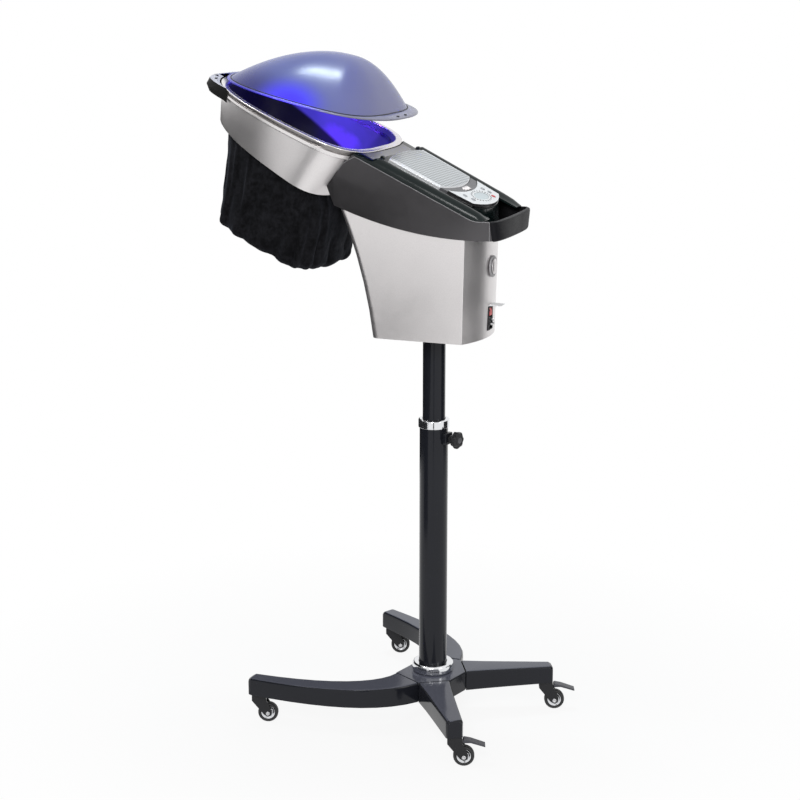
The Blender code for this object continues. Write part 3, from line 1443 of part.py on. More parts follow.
def dome_ring(share, inset):
    """Ring of the dome: share 0 at its root, 1 at the crown."""
    scale = math.cos(share * math.pi / 2)
    height = 1.0 - scale * scale
    return visor_ring(
        (DOME_FRONT - inset) * scale,
        (DOME_REAR - inset) * scale,
        (DOME_HALF_WIDTH - inset) * scale,
        VISOR_LIFT + FLANGE_SKIN + (DOME_HEIGHT - inset) * height,
    )


def build_visor(head):
    """Dome with its flange, and the knuckle that turns on the hinge pin."""
    shares = [k / DOME_RINGS for k in range(DOME_RINGS)]
    base = VISOR_LIFT + FLANGE_SKIN
    crown = sum((Vector(p) for p in visor_ring(0.001, 0.001, 0.001, base + DOME_HEIGHT)), Vector())
    under = visor_ring(0.001, 0.001, 0.001, base + DOME_HEIGHT - VISOR_SKIN)
    rings = [[crown / HOOD_SIDES]]
    rings += [dome_ring(share, 0.0) for share in reversed(shares)]
    rings.append(visor_ring(FLANGE_FRONT, FLANGE_REAR, FLANGE_HALF_WIDTH, base))
    rings.append(visor_ring(FLANGE_FRONT, FLANGE_REAR, FLANGE_HALF_WIDTH, VISOR_LIFT))
    skin = VISOR_SKIN
    rings.append(visor_ring(DOME_FRONT - skin, DOME_REAR - skin, DOME_HALF_WIDTH - skin, VISOR_LIFT))
    rings += [dome_ring(share, skin) for share in shares[1:]]
    rings.append([sum((Vector(p) for p in under), Vector()) / HOOD_SIDES])
    smoke = make_material("visor_smoke", (0.28, 0.31, 0.48), 0.12, 0.0, 0.75)
    hinge = (HINGE_X, 0.0, HINGE_Z)
    visor = add_piece("visor_dome", loft(rings), smoke, head, hinge)

    barrel = lathe(disc_profile(KNUCKLE_RADIUS, -KNUCKLE_HALF, KNUCKLE_HALF), 24)
    barrel = moved(aimed(barrel, (0.0, 1.0, 0.0)), hinge)
    combine(visor, add_cutter("visor_knuckle", barrel, head), "UNION")
    lean = RIM_TILT - VISOR_OPEN
    ahead = Vector((math.cos(lean), 0.0, -math.sin(lean)))
    up = Vector((math.sin(lean), 0.0, math.cos(lean)))
    rise = flange_rise()
    arm = [
        up * (KNUCKLE_RADIUS * 0.2),
        up * (KNUCKLE_RADIUS * 0.95),
        ahead * ARM_SHOULDER + up * (rise + FLANGE_SKIN - FIT),
        ahead * ARM_FAR + up * (rise + FLANGE_SKIN - FIT),
        ahead * ARM_FAR + up * (rise + FIT),
        ahead * ARM_NEAR + up * (rise + FIT),
    ]
    rings = [[Vector(hinge) + p + Vector((0.0, y, 0.0)) for p in arm] for y in (-KNUCKLE_HALF, KNUCKLE_HALF)]
    combine(visor, add_cutter("visor_arm", loft(rings), head), "UNION")
    bore = lathe(disc_profile(HINGE_PIN_RADIUS + FIT, -HINGE_PIN_HALF, HINGE_PIN_HALF), 20)
    bore = moved(aimed(bore, (0.0, 1.0, 0.0)), hinge)
    combine(visor, add_cutter("knuckle_bore_cutter", bore, head))


def flange_rise():
    """Height of the flange's underside over the hinge axis, square to the flange."""
    normal = Vector((math.sin(RIM_TILT), math.cos(RIM_TILT)))
    return VISOR_LIFT + (Vector(RIM_CENTRE) - Vector((HINGE_X, HINGE_Z))).dot(normal)


# Curtain


def curtain_ring(front, rear, half_width, inset, fold):
    """Ring of the curtain between a front and a rear point, with its folds."""
    front, rear = Vector(front), Vector(rear)
    span = rear - front
    length = span.length
    along = span / length
    share = RIM_REAR / (RIM_FRONT + RIM_REAR)
    centre = rear - along * length * share
    ring = []
    outline = egg(length * (1 - share) - inset, length * share - inset, half_width - inset, CURTAIN_SIDES)
    for k, (u, v) in enumerate(outline):
        angle = 2.0 * math.pi * k / CURTAIN_SIDES
        wave = math.cos(CURTAIN_FOLDS * angle) + 0.4 * math.sin(5.0 * angle + 0.8)
        grow = 1.0 + fold * wave / math.hypot(u, v)
        ring.append(Vector((centre.x + along.x * u * grow, v * grow, centre.y + along.y * u * grow)))
    return ring


def curtain_rows():
    """Front point, rear point, half width and fold of each ring, from under the hood to the hem."""
    fronts = zip(CURTAIN_FRONT_X, CURTAIN_FRONT_Z)
    rears = zip(CURTAIN_REAR_X, CURTAIN_REAR_Z)
    folds = [share * FOLD_DEPTH for share in CURTAIN_FOLD_SHARES]
    return list(zip(fronts, rears, CURTAIN_HALF_WIDTHS, folds))


def build_curtain(head):
    """Hanging cloth with its main folds, tucked into the liner and drawn in at the hem."""
    rows = curtain_rows()
    tuck = -HOOD_WALL - LINER_GAP - LINER_WALL - RUN
    outer = [hood_ring(level, tuck, 0.0, CURTAIN_SIDES) for level in (CURTAIN_TOP_SHARE, 1.0)]
    outer += [curtain_ring(front, rear, half, 0.0, fold) for front, rear, half, fold in rows]
    tuck -= CURTAIN_THICKNESS
    inner = [hood_ring(level, tuck, 0.0, CURTAIN_SIDES) for level in (CURTAIN_TOP_SHARE, 1.0)]
    for k, (front, rear, half, fold) in enumerate(rows):
        lift = 0.8 * CURTAIN_THICKNESS if k >= len(rows) - 2 else 0.0
        front, rear = (front[0], front[1] + lift), (rear[0], rear[1] + lift)
        inner.append(curtain_ring(front, rear, half, CURTAIN_THICKNESS, fold))
    velvet = make_material("velvet", (0.006, 0.006, 0.008), 0.95)
    add_piece("curtain", loft(outer + list(reversed(inner)), closed=True), velvet, head)


def main():
    clear_scene()
    stand = make_empty("stand_axis", (STAND_X, STAND_Y, 0.0))
    base = make_empty("base_frame", (0.0, 0.0, 0.0), BASE_TURN, stand)
    mast = make_empty("mast_frame", (0.0, 0.0, 0.0), 0.0, stand)
    head = make_empty("head_frame", (0.0, 0.0, 0.0), 0.0, mast)
    build_base(base)
    build_column(base)
    build_mast(mast)
    build_housing(head)
    envelope = build_envelope(head)
    build_side_panels(head, envelope)
    build_handle(head)
    build_deck(head, envelope)
    build_cover(head)
    build_panel(head)
    build_inner(head)
    build_rear_fittings(head)
    build_hood(head)
    build_lip(head)
    build_visor(head)
    build_curtain(head)


main()
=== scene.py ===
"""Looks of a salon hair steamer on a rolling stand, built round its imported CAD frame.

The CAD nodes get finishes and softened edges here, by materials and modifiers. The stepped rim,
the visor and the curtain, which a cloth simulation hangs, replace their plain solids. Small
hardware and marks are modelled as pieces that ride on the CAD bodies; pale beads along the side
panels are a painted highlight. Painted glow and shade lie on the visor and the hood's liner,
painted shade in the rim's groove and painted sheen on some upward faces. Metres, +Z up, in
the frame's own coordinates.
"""

import json
import math

import bmesh
import bpy
import mathutils.noise
from mathutils import Matrix, Vector


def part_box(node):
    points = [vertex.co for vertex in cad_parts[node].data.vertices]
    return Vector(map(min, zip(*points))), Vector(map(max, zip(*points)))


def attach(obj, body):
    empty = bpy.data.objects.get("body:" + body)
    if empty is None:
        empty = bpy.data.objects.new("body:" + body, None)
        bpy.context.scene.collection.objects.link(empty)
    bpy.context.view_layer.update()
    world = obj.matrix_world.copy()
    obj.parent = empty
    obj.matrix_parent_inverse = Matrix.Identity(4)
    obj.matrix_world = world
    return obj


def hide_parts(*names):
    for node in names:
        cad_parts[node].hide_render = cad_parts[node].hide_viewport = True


bl_info = {
    "name": "Salon hair steamer",
    "version": (1, 0, 0),
    "blender": (4, 5, 0),
    "location": "View3D > Sidebar > Steamer",
    "description": "Dresses the packed frame of a hair steamer with finishes, cloth and small hardware",
    "category": "Object",
}

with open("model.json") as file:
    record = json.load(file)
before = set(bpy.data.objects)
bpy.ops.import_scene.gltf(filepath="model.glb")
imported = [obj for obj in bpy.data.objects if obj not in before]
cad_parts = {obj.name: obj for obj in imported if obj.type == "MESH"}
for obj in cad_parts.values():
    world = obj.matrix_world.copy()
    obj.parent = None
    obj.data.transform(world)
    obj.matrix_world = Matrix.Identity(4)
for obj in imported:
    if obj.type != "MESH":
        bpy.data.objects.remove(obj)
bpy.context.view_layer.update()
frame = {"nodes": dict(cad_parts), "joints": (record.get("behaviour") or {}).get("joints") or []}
NODES = frame["nodes"]
JOINTS = {joint["name"]: joint for joint in frame["joints"]}
STAND = Vector((JOINTS["head_swivel"]["pos_m"][0], JOINTS["head_swivel"]["pos_m"][1], 0.0))
DECK_UP = -Vector(JOINTS["latch_button_press"]["axis"])
DECK_AHEAD = Vector((DECK_UP.z, 0.0, -DECK_UP.x))
DECK_SIDE = Vector((0.0, 1.0, 0.0))
CORNERS = ("front_left", "front_right", "rear_left", "rear_right")
BUTTONS = ("button_time_up", "button_time_down", "button_heat_up", "button_heat_down", "button_power")


# Settings that a user would change


def colour_setting(name, description, default):
    """Colour with a picker in the panel."""
    return bpy.props.FloatVectorProperty(
        name=name, description=description, subtype="COLOR", default=default
    )


def number_setting(name, description, default, subtype="DISTANCE"):
    """Number with its unit, a distance in metres unless another subtype is named."""
    return bpy.props.FloatProperty(
        name=name, description=description, subtype=subtype, default=default
    )


class SteamerColours(bpy.types.PropertyGroup):
    """Colours of the finishes"""

    silver: colour_setting("Silver", "Champagne silver of the housing and hood", (0.76, 0.735, 0.735))
    panel_grey: colour_setting("Side panels", "Dark grey of the grained side panels", (0.108, 0.104, 0.109))
    gloss_black: colour_setting("Gloss black", "Black of the tubes and base", (0.013, 0.014, 0.019))
    velvet: colour_setting("Velvet", "Colour of the curtain's pile", (0.0032, 0.0032, 0.0040))
    smoke: colour_setting("Visor", "Tint of the smoky dome", (0.095, 0.125, 0.400))
    glow: colour_setting("Light strip", "Colour of the light inside the hood", (0.075, 0.035, 1.0))


class SteamerSizes(bpy.types.PropertyGroup):
    """Sizes of the pieces that are added to the frame"""

    folds: bpy.props.IntProperty(
        name="Folds", description="Main folds of the gathered curtain", default=18, min=6, max=40
    )
    cloth_thickness: number_setting("Cloth thickness", "Thickness of the velvet with its lining", 0.0018)
    hem_radius: number_setting("Hem radius", "Radius of the casing along the curtain's lower edge", 0.0034)
    bolt_radius: number_setting("Axle bolt radius", "Radius of the bolt heads on the caster forks", 0.0042)
    screw_radius: number_setting("Screw radius", "Radius of the small screw heads", 0.0032)
    dot_radius: number_setting("Dot radius", "Radius of the dots on the control panel", 0.0016)


class SteamerStage(bpy.types.PropertyGroup):
    """Camera, lamps and floor"""

    lens: number_setting("Lens", "Focal length on a 36 mm sensor", 79.40, "DISTANCE_CAMERA")
    key_power: number_setting("Key lamp", "Power of the large lamp in front", 42.0, "POWER")
    fill_power: number_setting("Fill lamp", "Power of the lamp on the right", 14.0, "POWER")
    edge_power: number_setting("Edge lamp", "Power of the small lamp for bright edges", 8.0, "POWER")
    top_power: number_setting("Top lamp", "Power of the lamp overhead", 22.0, "POWER")
    sky_level: bpy.props.FloatProperty(
        name="Surroundings",
        description="Share of the white surroundings that lights the object",
        subtype="FACTOR",
        default=0.34,
        min=0.0,
        max=1.0,
    )
    glow_power: number_setting("Hood lamp", "Power of the blue lamp inside the hood", 2.0, "POWER")
    floor_radius: number_setting("Floor radius", "Half the width of the round floor", 7.0)


# Nodes, and node groups that several finishes share


def feed(tree, value, socket):
    """Give an input its value: a link from a socket, or a constant."""
    if isinstance(value, bpy.types.NodeSocket):
        tree.links.new(value, socket)
    else:
        socket.default_value = value


def maths(tree, operation, *values):
    """Math node on sockets or numbers; returns its output."""
    node = tree.nodes.new("ShaderNodeMath")
    node.operation = operation
    for value, socket in zip(values, node.inputs):
        feed(tree, value, socket)
    return node.outputs[0]


def vector_maths(tree, operation, *vectors):
    """Vector Math node that puts out a number, on sockets or constant vectors."""
    node = tree.nodes.new("ShaderNodeVectorMath")
    node.operation = operation
    for value, socket in zip(vectors, node.inputs):
        feed(tree, value, socket)
    return node.outputs["Value"]


def ramp(tree, value, span, ends=(0.0, 1.0), kind="LINEAR"):
    """Map Range node from a span of values to two ends, each a socket or a number."""
    node = tree.nodes.new("ShaderNodeMapRange")
    node.interpolation_type = kind
    for label, given in zip(("Value", "From Min", "From Max", "To Min", "To Max"), (value, *span, *ends)):
        feed(tree, given, node.inputs[label])
    return node.outputs["Result"]


def object_place(tree, scale=None):
    """Object coordinates, stretched if a scale is given."""
    place = tree.nodes.new("ShaderNodeTexCoord").outputs["Object"]
    if scale is None:
        return place
    mapping = tree.nodes.new("ShaderNodeMapping")
    mapping.inputs["Scale"].default_value = scale
    tree.links.new(place, mapping.inputs["Vector"])
    return mapping.outputs["Vector"]


def noise(tree, place, scale, detail=3.0, roughness=0.55):
    """Noise texture on a place; returns its factor."""
    node = tree.nodes.new("ShaderNodeTexNoise")
    node.inputs["Detail"].default_value = detail
    node.inputs["Roughness"].default_value = roughness
    feed(tree, scale, node.inputs["Scale"])
    tree.links.new(place, node.inputs["Vector"])
    return node.outputs["Fac"]


def cells(tree, place, scale):
    """Voronoi texture on a place; returns the distance from the middles of its cells."""
    node = tree.nodes.new("ShaderNodeTexVoronoi")
    feed(tree, scale, node.inputs["Scale"])
    tree.links.new(place, node.inputs["Vector"])
    return node.outputs["Distance"]


def new_group(name, inputs, outputs):
    """Empty shader node group with float inputs (name, default) and outputs (name, socket type)."""
    group = bpy.data.node_groups.new(name, "ShaderNodeTree")
    for label, value in inputs:
        socket = group.interface.new_socket(label, in_out="INPUT", socket_type="NodeSocketFloat")
        socket.default_value = value
    for label, kind in outputs:
        group.interface.new_socket(label, in_out="OUTPUT", socket_type=kind)
    return group, group.nodes.new("NodeGroupInput").outputs, group.nodes.new("NodeGroupOutput").inputs


def make_grain_group():
    """Moulded grain: the height of pits of two sizes."""
    group, given, result = new_group(
        "moulded_grain",
        (("Scale", 900.0), ("Share of fine pits", 0.4)),
        (("Height", "NodeSocketFloat"),),
    )
    place = object_place(group)
    fine = noise(group, place, maths(group, "MULTIPLY", given["Scale"], 2.3), 2.0)
    share = given["Share of fine pits"]
    rest = maths(group, "SUBTRACT", 1.0, share)
    coarse = maths(group, "MULTIPLY", cells(group, place, given["Scale"]), rest)
    group.links.new(maths(group, "MULTIPLY_ADD", fine, share, coarse), result["Height"])
    return group


def make_marks_group():
    """Handling marks: slow patches and fine wipes that change how rough a surface is."""
    group, given, result = new_group(
        "handling_marks",
        (("Clean", 0.2), ("Marked", 0.3), ("Scale", 9.0)),
        (("Roughness", "NodeSocketFloat"), ("Patches", "NodeSocketFloat")),
    )
    slow = noise(group, object_place(group), given["Scale"], 4.0)
    wipes = noise(group, object_place(group, (1.0, 1.0, 9.0)), 60.0, 2.0)
    both = maths(group, "MULTIPLY_ADD", wipes, 0.35, maths(group, "MULTIPLY", slow, 0.65))
    spread = ramp(group, both, (0.38, 0.66), (given["Clean"], given["Marked"]))
    group.links.new(spread, result["Roughness"])
    group.links.new(slow, result["Patches"])
    return group


def make_edge_group():
    """Rubbed edges: a mask where the surface turns sharply, and a normal that rounds it."""
    group, given, result = new_group(
        "rubbed_edges",
        (("Radius", 0.0012), ("Amount", 0.5)),
        (("Edge", "NodeSocketFloat"), ("Normal", "NodeSocketVector")),
    )
    bevel = group.nodes.new("ShaderNodeBevel")
    bevel.samples = 4
    group.links.new(given["Radius"], bevel.inputs["Radius"])
    flat = group.nodes.new("ShaderNodeNewGeometry").outputs["Normal"]
    turn = vector_maths(group, "DOT_PRODUCT", bevel.outputs["Normal"], flat)
    sharp = maths(group, "MULTIPLY", maths(group, "SUBTRACT", 1.0, turn), 4.0)
    patchy = maths(group, "MULTIPLY", sharp, noise(group, object_place(group), 140.0))
    group.links.new(maths(group, "MULTIPLY", patchy, given["Amount"]), result["Edge"])
    group.links.new(bevel.outputs["Normal"], result["Normal"])
    return group


GROUP_MAKERS = {"grain": make_grain_group, "marks": make_marks_group, "edges": make_edge_group}
GROUPS = {}


def place_group(tree, name, **values):
    """Group node in a material with its own values; the group is built when first asked for."""
    if name not in GROUPS:
        GROUPS[name] = GROUP_MAKERS[name]()
    node = tree.nodes.new("ShaderNodeGroup")
    node.node_tree = GROUPS[name]
    for key, value in values.items():
        node.inputs[key.capitalize()].default_value = value
    return node


# Finishes


def socket_name(key):
    """Name of a shader's socket from its keyword."""
    return key.replace("_", " ").title().replace("Ior", "IOR")


def new_finish(name, **sockets):
    """Material with a Principled shader whose constant sockets are set by name."""
    material = bpy.data.materials.new(name)
    material.use_nodes = True
    shader = material.node_tree.nodes["Principled BSDF"]
    for key, value in sockets.items():
        shader.inputs[socket_name(key)].default_value = value
    return material, material.node_tree, shader


def wire(tree, shader, **sockets):
    """Link sockets to the inputs of a shader, given by name."""
    for key, value in sockets.items():
        tree.links.new(value, shader.inputs[socket_name(key)])


def handled(tree, shader, rough, scale):
    """Roughness between clean and marked by handling; returns the mask of the patches."""
    marks = place_group(tree, "marks", clean=rough[0], marked=rough[1], scale=scale)
    wire(tree, shader, roughness=marks.outputs["Roughness"])
    return marks.outputs["Patches"]


def two_tone(tree, factor, low, high):
    """Colour mix by a factor between two colours, each a socket or numbers."""
    node = tree.nodes.new("ShaderNodeMix")
    node.data_type = "RGBA"
    tree.links.new(factor, node.inputs["Factor"])
    for label, colour in (("A", low), ("B", high)):
        value = colour if isinstance(colour, bpy.types.NodeSocket) else (*colour, 1.0)
        feed(tree, value, node.inputs[label])
    return node.outputs["Result"]


def mask(tree, source, direction, low, high):
    """Mask that rises from 0 to 1 along a direction, by place (Object) or by a face's way (Normal)."""
    place = tree.nodes.new("ShaderNodeTexCoord").outputs[source]
    along = vector_maths(tree, "DOT_PRODUCT", place, direction)
    return ramp(tree, along, (low, high), kind="SMOOTHSTEP")


def zoned(tree, colour, zones):
    """Colour socket with other colours laid over it, each where all the masks of its zone hold."""
    for paint, limits in zones:
        share = mask(tree, *limits[0])
        for limit in limits[1:]:
            share = maths(tree, "MULTIPLY", share, mask(tree, *limit))
        colour = two_tone(tree, share, colour, paint)
    return colour


def nearness(tree, place, sizes, turn):
    """Mask that fades from 1 at a place of the head to 0 on an ellipsoid turned about Y by some degrees."""
    spot = tree.nodes.new("ShaderNodeMapping")
    spot.vector_type = "TEXTURE"
    spot.inputs["Location"].default_value = Vector(place) + STAND
    spot.inputs["Rotation"].default_value = (0.0, math.radians(turn), 0.0)
    spot.inputs["Scale"].default_value = sizes
    tree.links.new(object_place(tree), spot.inputs["Vector"])
    reach = vector_maths(tree, "LENGTH", spot.outputs["Vector"])
    return ramp(tree, reach, (0.0, 1.0), (1.0, 0.0), "SMOOTHERSTEP")


def both_sides(tree, place, sizes, turn):
    """Mask near a place and near its mirror image on the other side of the head."""
    x, y, z = place
    first = nearness(tree, (x, y, z), sizes, turn)
    return maths(tree, "MAXIMUM", first, nearness(tree, (x, -y, z), sizes, turn))


def behind(tree, start, end):
    """Mask that rises towards the rear between two distances from the stand's axis."""
    return mask(tree, "Object", (1.0, 0.0, 0.0), STAND.x + start, STAND.x + end)


def band_mark(tree):
    """Mask of the band that a moulded piece carries as an attribute."""
    mark = tree.nodes.new("ShaderNodeAttribute")
    mark.attribute_name = "band"
    return mark.outputs["Fac"]


def bumped(tree, height, strength, distance, normal=None):
    """Bump node on a height; returns its normal."""
    node = tree.nodes.new("ShaderNodeBump")
    node.inputs["Strength"].default_value = strength
    node.inputs["Distance"].default_value = distance
    tree.links.new(height, node.inputs["Height"])
    if normal is not None:
        tree.links.new(normal, node.inputs["Normal"])
    return node.outputs["Normal"]


def shade(colour, factor):
    """Colour made darker or lighter."""
    return tuple(min(1.0, channel * factor) for channel in colour)


def silver_finish(name, colour, metallic, rough=(0.30, 0.42), zones=(), band=None):
    """Metallic paint on plastic: flakes, faint orange peel, soft patches, perhaps a band of painted shade.
    """
    material, tree, shader = new_finish(name, metallic=metallic, coat_weight=0.25, coat_roughness=0.12)
    place = object_place(tree)
    flakes = cells(tree, place, 1500.0)
    spark = maths(tree, "MULTIPLY_ADD", noise(tree, place, 620.0), 0.6, flakes)
    tone = two_tone(tree, spark, shade(colour, 0.84), shade(colour, 1.06))
    peel = noise(tree, place, 420.0, 2.0)
    if band is None:
        edges = place_group(tree, "edges", radius=0.0010, amount=0.35)
        tone = two_tone(tree, edges.outputs["Edge"], tone, shade(colour, 1.18))
        normal = bumped(tree, peel, 0.10, 0.0004, edges.outputs["Normal"])
    else:
        # Painted shade: the marked band, the rim's recessed groove, takes a darker colour.
        tone = two_tone(tree, band_mark(tree), tone, band)
        normal = bumped(tree, peel, 0.02, 0.0002)
    handled(tree, shader, rough, 7.0)
    wire(tree, shader, base_color=zoned(tree, tone, zones), normal=normal)
    return material


def moulded_finish(name, colour, rough, grain, wear=0.4, specular=0.5, metallic=0.0, zones=()):
    """Moulded plastic: grain of a scale and depth, handling marks and slightly rubbed edges."""
    material, tree, shader = new_finish(name, metallic=metallic, specular_ior_level=specular)
    patches = handled(tree, shader, rough, 11.0)
    edges = place_group(tree, "edges", radius=0.0010, amount=wear)
    tone = two_tone(tree, patches, shade(colour, 0.86), shade(colour, 1.12))
    lighter = tuple(min(1.0, channel * 1.6 + 0.02) for channel in colour)
    tone = two_tone(tree, edges.outputs["Edge"], tone, lighter)
    scale, depth = grain
    height = place_group(tree, "grain", scale=scale).outputs["Height"]
    normal = bumped(tree, height, 0.35, depth, edges.outputs["Normal"])
    wire(tree, shader, base_color=zoned(tree, tone, zones), normal=normal)
    return material


# Painted light on the hood's liner: the edge of the lit part and a brighter patch on its rear wall.
LIT_EDGE = (-0.318, 0.0, 1.221)
LIT_WAY = (0.65, 0.0, 0.76)
LIT_EDGE_HALF = 0.004
LIT_PATCH = (-0.262, 0.150, 1.183)
LIT_PATCH_SIZE = (0.105, 0.20, 0.055)


def liner_finish(name, colour):
    """Dark liner of the hood with the strip's light painted into its emission on the rear part, as painted
    light.
    """
    material = moulded_finish(name, colour, (0.30, 0.42), (800.0, 0.0003), wear=0.2, specular=0.15)
    tree = material.node_tree
    shader = tree.nodes["Principled BSDF"]
    shader.inputs["Emission Strength"].default_value = 1.0
    # Painted light: the strip's light on the rear wall is painted into the emission by place, with a hard
    # edge, a brighter patch and a fainter wash.
    edge = (Vector(LIT_EDGE) + STAND).dot(Vector(LIT_WAY))
    lit = mask(tree, "Object", LIT_WAY, edge - LIT_EDGE_HALF, edge + LIT_EDGE_HALF)
    near = nearness(tree, LIT_PATCH, LIT_PATCH_SIZE, 30.0)
    cloud = noise(tree, object_place(tree), 30.0)
    painted_light_patch = ramp(tree, maths(tree, "MULTIPLY", near, cloud), (0.20, 0.46))
    painted_light_wash = two_tone(tree, behind(tree, -0.26, -0.16), (0.050, 0.036, 0.50), (0.028, 0.022, 0.20))
    light = two_tone(tree, painted_light_patch, painted_light_wash, (0.100, 0.042, 0.95))
    light = two_tone(tree, lit, (0.001, 0.0006, 0.010), light)
    wire(tree, shader, emission_color=light)
    return material


def metal_finish(name, colour, rough, stretch=(1.0, 1.0, 1.0)):
    """Plated or plain metal with hairlines or faint waviness."""
    material, tree, shader = new_finish(name, metallic=1.0)
    patches = handled(tree, shader, rough, 24.0)
    tone = two_tone(tree, patches, shade(colour, 0.93), shade(colour, 1.04))
    edges = place_group(tree, "edges", radius=0.0008, amount=0.2)
    lines = noise(tree, object_place(tree, stretch), 160.0, 2.0)
    normal = bumped(tree, lines, 0.2, 0.00008, edges.outputs["Normal"])
    wire(tree, shader, base_color=tone, normal=normal)
    return material


def clear_finish(name, colour, transmission, roughness):
    """See-through plastic with a slightly uneven tint and finger marks."""
    material, tree, shader = new_finish(name, transmission_weight=transmission, ior=1.49)
    slow = noise(tree, object_place(tree), 14.0)
    tone = two_tone(tree, slow, shade(colour, 0.90), shade(colour, 1.10))
    handled(tree, shader, (roughness, roughness + 0.07), 13.0)
    ripple = noise(tree, object_place(tree), 70.0, 2.0)
    wire(tree, shader, base_color=tone, normal=bumped(tree, ripple, 0.05, 0.0003))
    return material


# Painted light on the visor: a glow where the strip's light soaks in at the seam, and painted shade near the
# front root, on both sides of the head.
VISOR_PAINTED_GLOW = (-0.238, 0.165, 1.285)
VISOR_PAINTED_GLOW_SIZE = (0.100, 0.16, 0.060)
VISOR_PAINTED_SHADE = (-0.335, 0.130, 1.310)
VISOR_PAINTED_SHADE_SIZE = (0.140, 0.20, 0.062)
VISOR_TURN = 14.0


def visor_finish(name, colour, glow):
    """Smoky dome: uneven tint, fine haze, a paler flange, painted glow of the strip at the seam, painted
    shade near the front root and a lighter tone painted towards the rear.
    """
    material, tree, shader = new_finish(name, transmission_weight=0.30, ior=1.49, emission_strength=1.0)
    slow = noise(tree, object_place(tree), 14.0)
    near = both_sides(tree, VISOR_PAINTED_GLOW, VISOR_PAINTED_GLOW_SIZE, VISOR_TURN)
    painted_shade_mask = both_sides(tree, VISOR_PAINTED_SHADE, VISOR_PAINTED_SHADE_SIZE, VISOR_TURN)
    tone = two_tone(tree, slow, shade(colour, 0.93), shade(colour, 1.07))
    # Painted reflection: the dome is painted lighter and greyer towards the rear.
    tone = two_tone(tree, behind(tree, -0.24, -0.04), tone, (0.24, 0.245, 0.46))
    # Painted shade near the front root, and a deep blue under the painted glow.
    tone = two_tone(tree, painted_shade_mask, tone, (0.014, 0.018, 0.200))
    tone = two_tone(tree, near, tone, (0.008, 0.004, 0.10))
    along = behind(tree, -0.36, -0.12)
    flange = band_mark(tree)
    # The flange is dark blue in front, under the painted glow that spills onto it, and paler towards the
    # rear.
    edge = two_tone(tree, along, (0.02, 0.02, 0.22), (0.27, 0.265, 0.36))
    handled(tree, shader, (0.25, 0.27), 13.0)
    # Painted glow: the strip's light spills onto the front of the flange as emission.
    painted_glow_spill = maths(tree, "MULTIPLY", flange, maths(tree, "SUBTRACT", 1.0, along))
    deep = (0.4 * glow[0], 0.2 * glow[1], glow[2])
    light = two_tone(tree, near, (0.0, 0.0, 0.0), deep)
    light = two_tone(tree, maths(tree, "MULTIPLY", painted_glow_spill, 0.25), light, deep)
    haze = bumped(tree, noise(tree, object_place(tree), 700.0, 2.0), 0.03, 0.0002)
    wire(tree, shader, base_color=two_tone(tree, flange, tone, edge), emission_color=light, normal=haze)
    return material


def glow_finish(name, colour, strength):
    """Light diffuser: brighter and darker stretches along it."""
    material, tree, shader = new_finish(name, roughness=0.35, emission_strength=strength)
    stretch = noise(tree, object_place(tree), 9.0, 2.0)
    tone = two_tone(tree, stretch, shade(colour, 0.55), colour)
    body = two_tone(tree, stretch, shade(colour, 0.06), shade(colour, 0.12))
    frost = bumped(tree, noise(tree, object_place(tree), 900.0, 2.0), 0.1, 0.0002)
    wire(tree, shader, base_color=body, emission_color=tone, normal=frost)
    return material


def velvet_finish(name, colour):
    """Crushed velvet: dark pile that lies in patches, with a cool sheen."""
    material, tree, shader = new_finish(
        name,
        sheen_weight=0.08,
        sheen_roughness=0.45,
        sheen_tint=(0.42, 0.46, 0.60, 1.0),
        specular_ior_level=0.12,
    )
    place = object_place(tree)
    lay = noise(tree, place, 42.0, 5.0, 0.62)
    crushed = noise(tree, place, 130.0, 3.0, 0.6)
    both = maths(tree, "MULTIPLY_ADD", crushed, 0.45, maths(tree, "MULTIPLY", lay, 0.55))
    spread = ramp(tree, both, (0.42, 0.68))
    tone = two_tone(tree, spread, shade(colour, 0.6), shade(colour, 3.2))
    rough = maths(tree, "MULTIPLY_ADD", spread, -0.22, 0.98)
    height = maths(tree, "MULTIPLY_ADD", noise(tree, place, 1400.0, 2.0), 0.25, both)
    pile = bumped(tree, height, 0.55, 0.0016)
    wire(tree, shader, base_color=tone, roughness=rough, normal=pile)
    return material


def hatched_finish(name, colour, zones):
    """Silver cover with a fine woven hatch pressed into it, laid out along the deck."""
    material, tree, shader = new_finish(name, metallic=0.5, coat_weight=0.15, coat_roughness=0.15)
    turn = tree.nodes.new("ShaderNodeMapping")
    turn.inputs["Rotation"].default_value = (0.0, -math.asin(DECK_UP.x), 0.0)
    tree.links.new(object_place(tree), turn.inputs["Vector"])
    split = tree.nodes.new("ShaderNodeSeparateXYZ")
    tree.links.new(turn.outputs["Vector"], split.inputs["Vector"])
    waves = []
    for slant in (0.62, -0.62):
        across = maths(tree, "MULTIPLY_ADD", split.outputs["Y"], slant, split.outputs["X"])
        waves.append(maths(tree, "SINE", maths(tree, "MULTIPLY", across, 520.0)))
    height = maths(tree, "MULTIPLY_ADD", maths(tree, "MULTIPLY", *waves), 0.5, 0.5)
    tone = two_tone(tree, height, shade(colour, 0.30), shade(colour, 1.15))
    handled(tree, shader, (0.30, 0.42), 9.0)
    edges = place_group(tree, "edges", radius=0.0010, amount=0.3)
    normal = bumped(tree, height, 0.5, 0.0006, edges.outputs["Normal"])
    wire(tree, shader, base_color=zoned(tree, tone, zones), normal=normal)
    return material


